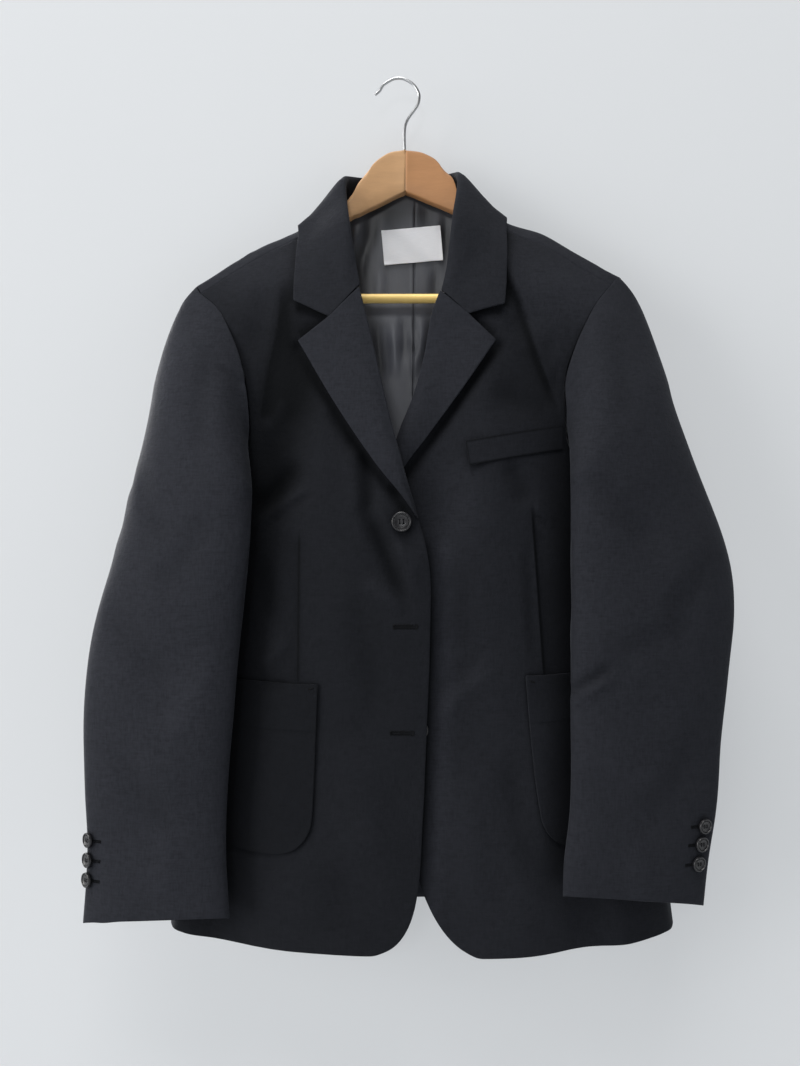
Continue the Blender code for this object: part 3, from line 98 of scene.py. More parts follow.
# Folds of the fronts, millimetres. A route runs through points x, z. Then its half width, its height
# (a hollow is negative) and its lean: the share of the height that turns over beside the line, on
# its right hand side if positive and on its left if negative.
FRONT_FOLDS = (
    # the wearer's right chest: a hollow under the arm, and what the armhole pulls out of it
    (((-108, -268), (-104, -320), (-112, -372), (-128, -420), (-138, -470)), 24, -5.0, 0.0),
    (((-150, -396), (-137, -382), (-118, -360)), 8, 1.8, 0.4),
    (((-160, -486), (-136, -464), (-114, -440), (-100, -424)), 12, -5.5, 0.0),
    (((-160, -500), (-140, -483), (-120, -469), (-90, -450)), 5, 2.6, 0.5),
    (((-80, -372), (-60, -398), (-40, -422)), 8, -2.4, 0.0),
    # round the fastened button
    (((-42, -410), (-36, -440), (-34, -462), (-36, -490)), 8, -4.4, 0.3),
    (((-38, -462), (-34, -484), (-22, -508), (-10, -538), (0, -562), (10, -584)), 8, -5.4, -0.4),
    (((-12, -512), (6, -524), (24, -538)), 8, 2.4, 0.2),
    (((-44, -546), (-22, -560), (6, -578)), 9, 2.6, 0.4),
    (((-60, -556), (-46, -580), (-36, -610), (-30, -650), (-26, -700)), 16, -1.8, 0.2),
    # the right side panel and skirt
    (((-148, -642), (-131, -624), (-114, -604)), 7, 1.8, 0.6),
    (((-150, -520), (-140, -560), (-136, -600)), 12, -2.4, 0.0),
    (((-150, -654), (-128, -656), (-112, -658)), 7, -2.6, 0.0),
    (((-40, -690), (-36, -760), (-44, -850)), 26, 1.6, 0.0),
    (((-72, -830), (-66, -870), (-74, -915)), 20, -1.2, 0.2),
    # the wearer's left chest and waist
    (((84, -352), (122, -366), (166, -380)), 15, -2.4, 0.0),
    (((104, -424), (118, -448), (130, -476)), 12, -2.8, 0.0),
    (((134, -470), (143, -480), (156, -488)), 4, 1.8, 0.6),
    (((133, -486), (142, -496), (152, -500)), 4, 1.4, 0.5),
    (((60, -420), (66, -470), (72, -520)), 22, 1.4, 0.0),
    (((44, -520), (54, -570), (52, -630)), 20, -1.8, 0.3),
    (((126, -500), (129, -560), (134, -646)), 6, -1.6, 0.0),
    (((96, -632), (74, -651), (55, -665), (36, -692)), 9, 1.9, 0.6),
    (((108, -710), (116, -780), (134, -860)), 15, -2.0, -0.2),
    (((70, -720), (64, -800), (72, -900)), 24, 1.8, 0.0),
)
# Drag lines: the cloth on the left hand of the route stands out over the cloth on its right hand.
# Route, half width, height, and how far from the line it dies out
FRONT_DRAGS = (
    (
        ((-150, -388), (-146, -362), (-142, -338), (-136, -310), (-131, -285), (-129, -262), (-127, -222)),
        8, 7.0, 30,
    ),
    (
        ((94, -200), (106, -225), (116, -245), (124, -262), (139, -310), (152, -345), (166, -384)),
        4.5, 9.0, 30,
    ),
)
# A fold's depth at which full shade is painted on the cloth's colour
HOLLOW_DEPTH = 7.0  # mm of depth at which the cloth lies in full shade
# Where the fronts fall back beside the lapels and the collar, with painted shade: route, half width, depth,
# shade
LAPEL_SHADES = (
    (((-112, -300), (-106, -312), (-70, -373), (-34, -429), (-6, -466), (8, -484)), 6, 2.6, 1.1),
    (((101, -300), (97, -308), (66, -354), (31, -404), (4, -441), (-10, -464)), 6, 2.6, 1.1),
    (((-114, -262), (-114, -235), (-113, -205), (-112, -176)), 4, 0.8, 0.3),
    (((108, -266), (109, -240), (111, -208), (111, -176)), 5, 1.2, 0.9),
    (((-112, -264), (-92, -268), (-76, -280), (-92, -290), (-106, -298)), 7, 1.0, 0.9),
    (((104, -268), (86, -270), (70, -277), (84, -288), (95, -298)), 6, 1.0, 0.7),
)
# Edge of the upper front, whose shadow is painted on the under front: half width and painted shade of the
# black line beside it, then how far beyond it and how much light is painted on the cloth there
OVER_EDGE = (
    (24, -500), (26, -549), (27, -605), (25, -655), (22, -730), (18, -812), (14, -864), (8, -887), (-2, -908)
)
OVER_SHADE = (4.5, 1.1, 17, 10, 0.7)
# Lapels' lower tips: level from which the lapel is drawn out, x and z of its tip, share of its width
# that is left there
LAPEL_TIPS = {"lapel_right": (-425, (15.0, -487), 0.2)}
TIP_SUNK = 0.45  # share of its height over the front that the tip gives up
# Shade painted on the lapel's tip, growing towards its end
TIP_SHADE = 0.75
# Broad shade painted on the fronts: middle x, z, half widths, shade. Below 0 it is painted light.
FRONT_LIGHT = (
    (-160, -215, 55, 40, -1.1),
    (-112, -340, 40, 60, 0.55),
    (-150, -462, 26, 34, 0.9),
    (0, -491, 14, 14, 0.7),
    (170, -240, 70, 45, -0.7),
    (104, -350, 50, 46, 0.3),
    (40, -490, 26, 70, -0.3),
)
# Folds of the back, seen through the cloth from in front: the same columns
BACK_FOLDS = (
    (((-150, -210), (-140, -280), (-118, -350)), 16, -2.6, -0.4),
    (((152, -215), (146, -290), (120, -360)), 18, -3.0, 0.4),
    (((-90, -200), (-84, -300), (-96, -420)), 24, 2.0, 0.0),
    (((96, -205), (80, -310), (92, -400)), 22, 1.8, 0.0),
    (((-170, -420), (-110, -462), (-40, -470)), 13, -2.4, 0.4),
    (((178, -436), (130, -476), (52, -486)), 12, -2.2, -0.4),
    (((-60, -490), (-30, -512), (24, -520)), 9, 1.6, 0.3),
    (((-120, -520), (-132, -640), (-150, -800)), 24, -2.6, 0.2),
    (((110, -540), (134, -680), (160, -850)), 26, -2.8, -0.2),
    (((-52, -600), (-58, -740), (-50, -900)), 22, 2.0, 0.0),
    (((60, -620), (70, -740), (66, -900)), 24, 1.8, 0.0),
)
# Folds of the sleeves' front halves
SLEEVE_FOLDS = (
    (((-158, -344), (-169, -344), (-180, -335), (-192, -326)), 4, -1.2, 0.6),
    (((-236, -268), (-244, -330), (-238, -390)), 16, 1.6, 0.0),
    (((-196, -300), (-206, -360), (-202, -440)), 12, -1.8, -0.2),
    (((-280, -420), (-262, -470), (-232, -520)), 13, -1.8, 0.3),
    (((-190, -470), (-214, -520), (-252, -560)), 14, -1.6, 0.2),
    (((-300, -560), (-276, -610), (-224, -660)), 15, -2.0, 0.4),
    (((-186, -600), (-204, -660), (-244, -720)), 14, 1.5, 0.0),
    (((-292, -700), (-262, -760), (-212, -810)), 15, -1.6, -0.3),
    (((-230, -780), (-236, -840), (-228, -890)), 13, 1.3, 0.0),
    (((160, -668), (172, -656), (190, -644), (214, -630)), 5, -3.6, 0.6),
    (((216, -262), (226, -330), (222, -400)), 14, -1.8, 0.2),
    (((256, -300), (262, -370), (258, -450)), 14, 1.5, 0.0),
    (((190, -430), (218, -480), (262, -520)), 15, -2.0, -0.3),
    (((330, -500), (300, -550), (250, -590)), 14, -2.0, 0.4),
    (((206, -633), (246, -606), (300, -590)), 13, -1.8, 0.4),
    (((190, -700), (226, -740), (280, -760)), 14, 1.4, 0.2),
    (((300, -680), (282, -730), (240, -790)), 15, -1.6, 0.2),
    (((226, -800), (236, -840), (232, -880)), 12, 1.2, 0.0),
)
# and of their back halves
SLEEVE_BACK_FOLDS = (
    (((-300, -430), (-262, -462), (-210, -470)), 9, -2.4, 0.5),
    (((-304, -480), (-262, -520), (-196, -540)), 10, -2.4, 0.5),
    (((-236, -560), (-246, -660), (-240, -780)), 18, 1.8, 0.0),
    (((322, -470), (276, -500), (220, -510)), 9, -2.4, -0.5),
    (((334, -530), (290, -566), (214, -590)), 11, -2.4, -0.5),
    (((262, -600), (256, -700), (246, -820)), 18, 1.8, 0.0),
)
# Puckers of the lining, seen from in front
LINING_FOLDS = (
    (((-14, -148), (-30, -160), (-42, -180), (-48, -206), (-46, -236)), 7, -2.6, 0.3),
    (((-40, -150), (-50, -170), (-58, -196)), 5, 2.4, 0.4),
    (((-34, -170), (-22, -166), (-2, -160), (20, -156)), 4, 1.8, 0.4),
    (((4, -144), (24, -150), (44, -158)), 4, -2.2, 0.4),
    (((40, -156), (50, -176), (44, -200)), 5, -2.2, 0.4),
    (((-30, -206), (-24, -226), (-34, -250)), 6, 1.4, 0.3),
    (((30, -210), (38, -226), (32, -246)), 5, -1.4, 0.3),
    (((-30, -256), (-27, -290), (-22, -340)), 6, -2.6, 0.3),
    (((-14, -262), (-10, -290), (-8, -330)), 4, 1.6, 0.5),
    (((-4, -256), (2, -280), (0, -310)), 4, -1.6, 0.3),
    (((34, -256), (30, -290), (24, -330)), 6, -2.4, 0.3),
    (((20, -262), (22, -285), (18, -310)), 3, 1.2, 0.4),
)
# Broad shade painted on the lining: middle x, z, half widths, shade. Below 0 it is painted light.
LINING_LIGHT = (
    (-54, -185, 28, 50, 1.0),
    (10, -146, 60, 18, 0.9),
    (58, -190, 18, 50, 0.7),
    (-10, -300, 20, 60, -0.45),
    (-44, -222, 20, 18, 0.35),
    (-40, -290, 10, 60, 0.9),
    (-20, -150, 30, 16, 0.4),
    (36, -280, 10, 40, 0.7),
)
LINING_SEAM = (14, 12)  # x of the centre seam at its top and at its foot
LINING_SEAM_Z = (-148, -360)
LINING_RISE = 15  # how far its top reaches up behind the hanger's peak
LINING_BAR = -250  # level of the trouser bar, below which its seam shows more
LINING_PUCKER = (5.5, 0.6)  # spacing and height of the small puckers along the seam

# Shade painted into the wool's colour deep between two pieces, from ambient occlusion: how far it reaches,
# in metres, its falling off, and how fast it comes in as the cloth turns to the front. Cloth that faces the
# wall takes none.
CREVICE_REACH = 0.075
CREVICE_POWER = 1.6
CREVICE_TURN = 3
# Valleys between the fronts and the sleeves: level z, x of the right one, x of the left one, depth
VALLEYS = (
    (-240, -150, 166, 0),
    (-300, -150, 172, 5),
    (-400, -152, 184, 9),
    (-520, -158, 190, 11),
    (-700, -170, 190, 11),
    (-930, -186, 186, 8),
)
VALLEY_HALF = 34

# Darts: x, z at the top and at the foot. Half width of the cut, depth of the ditch, and how far the
# panel on the side seam's side lies behind the middle one
DARTS = {"front_right": ((-105, -494), (-106, -656)), "front_left": ((131.5, -470), (144, -648))}
DART_HALF = 0.9
DART_DEEP = 1.1
DART_STEP = 1.5
DART_FADE = 34
# Painted shade of the side panel beside a dart
DART_SHADE = 0.25  # of the side panel beside it

WELT_SUNK = 1.3  # the breast welt is pressed this far into the front
# The welt's rim is painted in shade over the width given last
WELT = ((63.6, -408.1), (165.5, -389.6), 24.5, 1.3)  # its upper corners, height, and width of its dark rim
# Turned-in hems at the pockets' mouths: z, and how far the doubled cloth stands out
POCKET_HEMS = {"pocket_right": (-700.7, 0.35), "pocket_left": (-692.0, 0.35)}

# Buttonholes down the front edge: x at the inner end and at the eye, z
FRONT_HOLES = ((-8.5, 13.0, -594.5), (-11.5, 9.5, -701.0))
CUFF_HOLE = 13.0
# Bar tacks at the pockets' mouths: x, z, turn in degrees
TACKS = ((-92.5, -657.5, 20), (-195.5, -657.5, -20), (131.0, -651.0, -20), (233.0, -648.0, 20))

# Camera: the long side of its sensor, mm. The lens is set so that this side takes in a length of
# VIEW_LONG metres from VIEW_AWAY metres off.
SENSOR = 36
VIEW_LONG = 1.066
VIEW_AWAY = 0.9

# Sleeves: the level, mm, under which folds begin and the way over which they come in, how sharply a
# fold keeps to its half of the sleeve, the share of the swell, and the share of the shade painted in the
# folds
SLEEVE_START = -235
SLEEVE_START_FADE = 50
SLEEVE_HALF_TURN = 1.6
SLEEVE_SWELL = 0.8
SLEEVE_SHADE = 0.6


# ---------------------------------------------------------------- settings

def tint(name, description, value):
    return FloatVectorProperty(
        name=name, description=description, subtype="COLOR", size=3, min=0, max=1, default=value
    )


def length(name, description, value):
    return FloatProperty(
        name=name, description=description, unit="LENGTH", subtype="DISTANCE", min=0, default=value
    )


def portion(name, description, value, most=1):
    return FloatProperty(name=name, description=description, min=0, max=most, default=value)


class ClothSettings(bpy.types.PropertyGroup):
    wool: tint("Wool", "Colour of the wool cloth", (0.0150, 0.0158, 0.0198))
    lining: tint("Lining", "Colour of the lining satin", (0.076, 0.080, 0.096))
    label: tint("Label", "Colour of the woven label", (0.92, 0.93, 0.97))
    thread: tint("Thread", "Colour of the buttonhole thread", (0.0014, 0.0017, 0.0024))
    folds: portion("Folds", "Share of the folds' full depth", 1, 2)
    # Share of the wool's colour kept where shade is painted deep between two pieces
    crevice: portion("Crevice", "Share of its colour that the wool keeps deep between two pieces", 0.36)
    # Share of the wool's colour kept where the shade painted from its own attribute is full
    painted_shade: portion("Hollow", "Share of its colour that the wool keeps at a fold's foot", 0.3)
    swell: length("Swell", "Height of the slow unevenness of the hanging cloth", 0.0012)


class ButtonSettings(bpy.types.PropertyGroup):
    horn: tint("Horn", "Colour of the buttons", (0.009, 0.009, 0.0105))
    front: length("Front button", "Diameter of the front buttons", 0.020)
    cuff: length("Cuff button", "Diameter of the cuff buttons", 0.015)
    sides: IntProperty(name="Sides", description="Sides of a button's round", min=12, max=96, default=48)


class HangerSettings(bpy.types.PropertyGroup):
    arm_right: tint("Right arm", "Colour of the wood of the wearer's right arm", (0.45, 0.265, 0.132))
    arm_left: tint("Left arm", "Colour of the wood of the wearer's left arm", (0.35, 0.172, 0.072))
    # The bar's colour is painted lighter than its wood, as painted light for the light that the collar and
    # the lapels keep from it
    bar: tint("Bar", "Colour of the trouser bar's wood", (1.0, 0.70, 0.225))
    wire: tint("Wire", "Colour of the hook's wire", (0.44, 0.45, 0.46))


class StageSettings(bpy.types.PropertyGroup):
    wall: tint("Wall", "Colour of the wall", (0.34, 0.35, 0.365))
    glow: portion("Glow", "Light that the wall gives by itself", 0.33, 2)
    lens: FloatProperty(
        name="Lens", description="Focal length, mm", min=10, max=200,
        default=SENSOR / VIEW_LONG * VIEW_AWAY,
    )
    eye: FloatVectorProperty(
        name="Eye", description="Place of the camera", size=3, subtype="TRANSLATION", unit="LENGTH",
        default=(-0.00276, -0.995, -0.5008),
    )


SETTINGS = {
    "blazer_cloth": ClothSettings,
    "blazer_buttons": ButtonSettings,
    "blazer_hanger": HangerSettings,
    "blazer_stage": StageSettings,
}


# ---------------------------------------------------------------- pieces

def alone(piece):
    """Makes the piece the only one that is selected, and the active one."""
    if bpy.context.object and bpy.context.object.mode != "OBJECT":
        bpy.ops.object.mode_set(mode="OBJECT")
    bpy.ops.object.select_all(action="DESELECT")
    piece.select_set(True)
    bpy.context.view_layer.objects.active = piece


def apply_modifier(piece, kind, **settings):
    """Adds one modifier and applies it."""
    alone(piece)
    modifier = piece.modifiers.new(kind.title(), kind)
    for key, value in settings.items():
        setattr(modifier, key, value)
    bpy.ops.object.modifier_apply(modifier=modifier.name)


def points_of(piece):
    """The piece's points as an array, in metres."""
    flat = np.empty(len(piece.data.vertices) * 3)
    piece.data.vertices.foreach_get("co", flat)
    return flat.reshape(-1, 3)


def set_points(piece, points):
    piece.data.vertices.foreach_set("co", np.asarray(points).ravel())
    piece.data.update()


def mesh_piece(name, mesh):
    """A new object from a bmesh."""
    data = bpy.data.meshes.new(name)
    mesh.to_mesh(data)
    mesh.free()
    piece = bpy.data.objects.new(name, data)
    bpy.context.scene.collection.objects.link(piece)
    return piece


def finish_piece(piece, slot, *looks, replaces=None):
    """The piece rides on the part and takes its finish. It may stand for a solid."""
    piece.data.materials.clear()
    for look in looks:
        piece.data.materials.append(look)
    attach(piece, "root")
    if replaces:
        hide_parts(replaces)


def welded(node, name):
    """A welded copy of the node's wall in four-sided faces."""
    piece = bpy.data.objects.new(name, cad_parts[node].data.copy())
    bpy.context.scene.collection.objects.link(piece)
    piece.data.materials.clear()
    alone(piece)
    bpy.ops.object.mode_set(mode="EDIT")
    bpy.ops.mesh.select_all(action="SELECT")
    bpy.ops.mesh.remove_doubles(threshold=WELD)
    bpy.ops.mesh.tris_convert_to_quads(face_threshold=math.radians(40), shape_threshold=math.radians(50))
    bpy.ops.object.mode_set(mode="OBJECT")
    return piece


def subdivided_points(piece, levels):
    """Where the piece's own points come to lie once it is subdivided."""
    trial = piece.copy()
    trial.data = piece.data.copy()
    bpy.context.scene.collection.objects.link(trial)
    apply_modifier(trial, "SUBSURF", levels=levels, render_levels=levels)
    moved = points_of(trial)[: len(piece.data.vertices)]
    mesh = trial.data
    bpy.data.objects.remove(trial)
    bpy.data.meshes.remove(mesh)
    return moved


def fine_copy(node, name, levels, crease=EDGE_CREASE, sharp=50):
    """The node's welded copy, subdivided through its own points. Its creased rims stay edges."""
    piece = welded(node, name)
    bpy.ops.object.mode_set(mode="EDIT")
    bpy.ops.mesh.select_mode(type="EDGE")
    bpy.ops.mesh.select_all(action="DESELECT")
    bpy.ops.mesh.edges_select_sharp(sharpness=math.radians(sharp))
    bpy.ops.transform.edge_crease(value=crease)
    bpy.ops.object.mode_set(mode="OBJECT")
    true_points = points_of(piece)
    points = true_points
    for _ in range(TRUE_ROUNDS):
        points = points + 0.8 * (true_points - subdivided_points(piece, 1))
        set_points(piece, points)
    apply_modifier(piece, "SUBSURF", levels=levels, render_levels=levels)
    piece.data.shade_smooth()
    return piece


def tube(mesh, route, radius, sides=6):
    """Adds a closed round thread along the route's points to the mesh."""
    route = [Vector(point) for point in route]
    rings = []
    for index, point in enumerate(route):
        ahead = route[min(index + 1, len(route) - 1)] - route[max(index - 1, 0)]
        turn = ahead.to_track_quat("Z", "Y").to_matrix()
        end = index in (0, len(route) - 1)
        width = radius * (0.55 if end else 1)
        ring = []
        for step in range(sides):
            angle = 2 * math.pi * step / sides
            off = Vector((width * math.cos(angle), width * math.sin(angle), 0))
            ring.append(mesh.verts.new(point + turn @ off))
        rings.append(ring)
    for low, high in zip(rings, rings[1:]):
        for step in range(sides):
            after = (step + 1) % sides
            mesh.faces.new((low[step], low[after], high[after], high[step])).smooth = True
    mesh.faces.new(rings[0][::-1])
    mesh.faces.new(rings[-1])


# ---------------------------------------------------------------- folds

def eased(value):
    """0 to 1 with a soft start and a soft end."""
    value = np.clip(value, 0, 1)
    return value * value * (3 - 2 * value)


def curve_through(points, steps=5):
    """A smooth line through the points."""
    points = [np.array(point, float) for point in points]
    ends = [2 * points[0] - points[1]] + points + [2 * points[-1] - points[-2]]
    line = []
    for before, start, end, after in zip(ends, ends[1:], ends[2:], ends[3:]):
        for share in np.arange(steps) / steps:
            line.append(
                0.5 * (
                    2 * start + (end - before) * share
                    + (2 * before - 5 * start + 4 * end - after) * share**2
                    + (3 * start - before - 3 * end + after) * share**3
                )
            )
    line.append(points[-1])
    return np.array(line)


def beside(line, x, z):
    """Signed distance of each place from the line, right hand positive, and its share of the way along."""
    steps = np.diff(line, axis=0)
    lengths = np.hypot(steps[:, 0], steps[:, 1])
    total = lengths.sum()
    gone = 0.0
    nearest = np.full(x.shape, 1e9)
    signed = np.zeros(x.shape)
    share = np.zeros(x.shape)
    for (start_x, start_z), (run_x, run_z), step in zip(line, steps, lengths):
        off_x = x - start_x
        off_z = z - start_z
        along = np.clip((off_x * run_x + off_z * run_z) / step**2, 0, 1)
        away = np.hypot(off_x - along * run_x, off_z - along * run_z)
        closer = away < nearest
        nearest = np.where(closer, away, nearest)
        side = np.sign(off_x * run_z - off_z * run_x)
        signed = np.where(closer, away * side, signed)
        share = np.where(closer, (gone + along * step) / total, share)
        gone += step
    return signed, share


def fold_height(folds, x, z):
    """Height of all the folds at the places x, z, mm."""
    height = np.zeros(x.shape)
    for route, half, tall, lean in folds:
        signed, share = beside(curve_through(route), x, z)
        ends = eased(share / 0.3) * eased((1 - share) / 0.3)
        middle = np.exp(-((signed / half) ** 2))
        turned = np.exp(-(((abs(signed) - 1.7 * half) / (1.1 * half)) ** 2)) * (signed * lean > 0)
        height += tall * ends * (middle - abs(lean) * turned)
    return height * bpy.context.scene.blazer_cloth.folds


def painted_fold_shade(folds, x, z):
    """Shade painted at the places x, z by how deep they lie in the folds: 0 is none, 1 full shade."""
    depth = np.zeros(x.shape)
    for route, half, tall, _ in folds:
        signed, share = beside(curve_through(route), x, z)
        ends = eased(share / 0.3) * eased((1 - share) / 0.3)
        depth -= tall * ends * np.exp(-((signed / half) ** 2)) / HOLLOW_DEPTH
    return depth


def drag_height(drags, x, z):
    """Height of the drag lines at the places x, z, mm, and the shade painted at their feet and beyond them.
    """
    height = np.zeros(x.shape)
    shade = np.zeros(x.shape)
    for route, half, tall, fade in drags:
        signed, share = beside(curve_through(route), x, z)
        ends = eased(share / 0.1) * eased((1 - share) / 0.25)
        far = np.exp(-((abs(signed) / fade) ** 1.4))
        height -= 0.5 * tall * np.tanh(signed / half) * far * ends
        foot = 0.8 * np.exp(-(((signed - 0.8 * half) / (1.1 * half)) ** 2))
        shade += (foot + 0.5 * far * (signed > 0)) * ends
    return height, shade


def swell(points, size):
    """Slow unevenness of hanging cloth, mm, at points in metres."""
    tall = bpy.context.scene.blazer_cloth.swell / MM
    return np.array([noise.noise(Vector(point) / (size * MM)) for point in points]) * tall


def side_seams(level):
    """Where the body's side seams lie, x in mm, at the levels z in mm, from the fronts' own points."""
    seams = []
    for node, pick in (("front_right", np.min), ("front_left", np.max)):
        points = points_of(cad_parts[node]) / MM
        levels = np.arange(-900, -330, 40)
        edges = [pick(points[abs(points[:, 2] - at) < 25, 0]) for at in levels]
        seams.append(np.interp(level, levels, edges))
    return seams


def front_height(points):
    """How far the front of the body stands out at the points, mm, and the shade painted on it there; below 0
    it is painted light.
    """
    x = points[:, 0] / MM
    z = points[:, 2] / MM
    right, left = side_seams(z)
    inside = eased((x - right) / BODY_SIDE) * eased((left - x) / BODY_SIDE)
    height, shade = drag_height(FRONT_DRAGS, x, z)
    height += fold_height(FRONT_FOLDS, x, z)
    height = (height + swell(points * (1, 0, 1), 60)) * inside
    shade += painted_fold_shade(FRONT_FOLDS, x, z)
    for route, half, depth, dark in LAPEL_SHADES:
        signed, share = beside(curve_through(route), x, z)
        near = np.exp(-((signed / half) ** 2)) * eased(share / 0.04) * eased((1 - share) / 0.04)
        height -= depth * near
        shade += dark * near
    for middle_x, middle_z, half_x, half_z, dark in FRONT_LIGHT:
        shade += dark * np.exp(-(((x - middle_x) / half_x) ** 2) - ((z - middle_z) / half_z) ** 2)
    table = np.array(VALLEYS[::-1], float)
    valley_right, valley_left, deep = (np.interp(z, table[:, 0], table[:, column]) for column in (1, 2, 3))
    for valley in (valley_right, valley_left):
        height -= deep * np.exp(-(((x - valley) / VALLEY_HALF) ** 2))
    return height, shade


def set_painted_shade(piece, shade):
    """Stores the shade painted on each point, which darkens the cloth's colour; below 0 it is painted light.
    """
    attribute = piece.data.attributes.new("painted_shade", "FLOAT", "POINT")
    attribute.data.foreach_set("value", np.clip(shade, -1, 1.25).astype(np.float32))


def move_front(piece, more=None):
    """Lays the front's folds on a piece that lies on the front and paints their shade on it. more adds
    heights and painted shade of its own.
    """
    points = points_of(piece)
    height, shade = front_height(points)
    if more is not None:
        own_height, own_shade = more(points)
        height = height + own_height
        shade = shade + own_shade
    points[:, 1] -= height * MM
    set_points(piece, points)
    set_painted_shade(piece, shade)


def sleeve_axis(side):
    """Middle and half widths of a sleeve at its levels, mm, from its own points."""
    nodes = [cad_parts[f"sleeve_{part}_{side}"] for part in ("top", "under")]
    points = np.vstack([points_of(node) for node in nodes]) / MM
    levels = np.arange(-880, -300, 30)
    rows = []
    for level in levels:
        near = points[abs(points[:, 2] - level) < 20, :2]
        low, high = near.min(axis=0), near.max(axis=0)
        rows.append((*(low + high) / 2, *(high - low) / 2))
    return levels, np.array(rows)


def move_sleeve(piece, side):
    """Lays the folds on a piece of the sleeve, outwards from the sleeve's middle, and paints shade deep in
    the folds of its front half.
    """
    points = points_of(piece)
    x, y, z = points.T / MM
    levels, rows = sleeve_axis(side)
    middle_x, middle_y, half_x, half_y = (np.interp(z, levels, rows[:, column]) for column in range(4))
    out_x = (x - middle_x) / half_x**2
    out_y = (y - middle_y) / half_y**2
    size = np.hypot(out_x, out_y) + 1e-9
    out_x, out_y = out_x / size, out_y / size
    front = fold_height(SLEEVE_FOLDS, x, z) * eased(-out_y * SLEEVE_HALF_TURN)
    back = fold_height(SLEEVE_BACK_FOLDS, x, z) * eased(out_y * SLEEVE_HALF_TURN)
    height = front + back + swell(points, 55) * SLEEVE_SWELL
    high = eased((SLEEVE_START - z) / SLEEVE_START_FADE)
    points[:, 0] += out_x * height * high * MM
    points[:, 1] += out_y * height * high * MM
    set_points(piece, points)
    shade = painted_fold_shade(SLEEVE_FOLDS, x, z) * eased(-out_y * SLEEVE_HALF_TURN)
    set_painted_shade(piece, shade * high * SLEEVE_SHADE)


def cut_along(piece, start, end, offsets, reach):
    """Cuts the piece's near faces along lines beside the line from start to end, x and z in mm."""
    run = Vector((end[0] - start[0], 0, end[1] - start[1])).normalized()
    across = Vector((run.z, 0, -run.x))
    foot = Vector((start[0], 0, start[1])) * MM
    span = Vector((end[0] - start[0], 0, end[1] - start[1])).length * MM
    mesh = bmesh.new()
    mesh.from_mesh(piece.data)
    for offset in offsets:
        faces = []
        for face in mesh.faces:
            off = face.calc_center_median() - foot
            along = off.dot(run)
            if -0.001 < along < span + 0.001 and abs(off.dot(across)) < reach * MM:
                faces.append(face)
        parts = list(dict.fromkeys(part for face in faces for part in (*face.edges, *face.verts)))
        bmesh.ops.bisect_plane(
            mesh, geom=faces + parts, dist=0.00002, plane_co=foot + across * offset * MM, plane_no=across
        )
    for face in mesh.faces:
        face.smooth = True
    mesh.to_mesh(piece.data)
    mesh.free()


def dart_height(start, end, outwards):
    """Height beside a dart: its ditch, and the side panel that lies a little deeper; and the shade painted
    along the ditch and on the side panel.
    """
    line = np.array((start, end), float)

    def height(points):
        signed, share = beside(line, points[:, 0] / MM, points[:, 2] / MM)
        signed = signed * outwards
        ends = eased(share / 0.12) * eased((1 - share) / 0.03)
        ditch = np.exp(-((signed / (0.55 * DART_HALF)) ** 2)) * DART_DEEP
        inner = eased((signed + 3.5) / 3.5) * (signed <= 0.01) * 0.35
        beyond = eased((signed + 0.01) / (2 * DART_HALF)) * eased(1 - signed / DART_FADE) * DART_STEP
        pull = 0.35 * np.sin(share * 95) * np.exp(-((signed / 7) ** 2)) * eased((0.35 - share) / 0.3)
        line_shade = 1.2 * np.exp(-((signed / (1.4 * DART_HALF)) ** 2)) + 0.2 * np.exp(-((signed / 6) ** 2))
        line_shade = line_shade + DART_SHADE * eased(signed / 1.5) * eased((60 - signed) / 20)
        return -(ditch + beyond - inner + pull) * ends, line_shade * ends

    return height


# ---------------------------------------------------------------- finishes

def material(name):
    """An empty node material: its nodes, its links and its Principled shader."""
    made = bpy.data.materials.new(name)
    made.use_nodes = True
    nodes = made.node_tree.nodes
    nodes.clear()
    output = nodes.new("ShaderNodeOutputMaterial")
    shader = nodes.new("ShaderNodeBsdfPrincipled")
    made.node_tree.links.new(shader.outputs["BSDF"], output.inputs["Surface"])
    return made, nodes, made.node_tree.links, shader


def set_shader(shader, **values):
    """Sets the shader's own sockets; an underscore stands for a space."""
    for key, value in values.items():
        shader.inputs[key.replace("_", " ")].default_value = value


def object_pattern(nodes, links, turn=0.0, scale=(1, 1, 1)):
    """Object coordinates, turned in the plane of the front and scaled."""
    coordinates = nodes.new("ShaderNodeTexCoord")
    mapping = nodes.new("ShaderNodeMapping")
    mapping.inputs["Rotation"].default_value = (0, math.radians(turn), 0)
    mapping.inputs["Scale"].default_value = scale
    links.new(coordinates.outputs["Object"], mapping.inputs["Vector"])
    return mapping.outputs["Vector"]


def noise_of(nodes, links, vector, scale, detail=2.0, rough=0.5):
    texture = nodes.new("ShaderNodeTexNoise")
    texture.inputs["Scale"].default_value = scale
    texture.inputs["Detail"].default_value = detail
    texture.inputs["Roughness"].default_value = rough
    links.new(vector, texture.inputs["Vector"])
    return texture.outputs["Fac"]


def math_of(nodes, links, operation, *values):
    node = nodes.new("ShaderNodeMath")
    node.operation = operation
    for socket, value in zip(node.inputs, values):
        if isinstance(value, (int, float)):
            socket.default_value = value
        else:
            links.new(value, socket)
    return node.outputs[0]


def blend_of(nodes, links, factor, first, second):
    """A colour between two colours."""
    mix = nodes.new("ShaderNodeMix")
    mix.data_type = "RGBA"
    links.new(factor, mix.inputs[0])
    mix.inputs[6].default_value = (*first, 1)
    mix.inputs[7].default_value = (*second, 1)
    return mix.outputs[2]


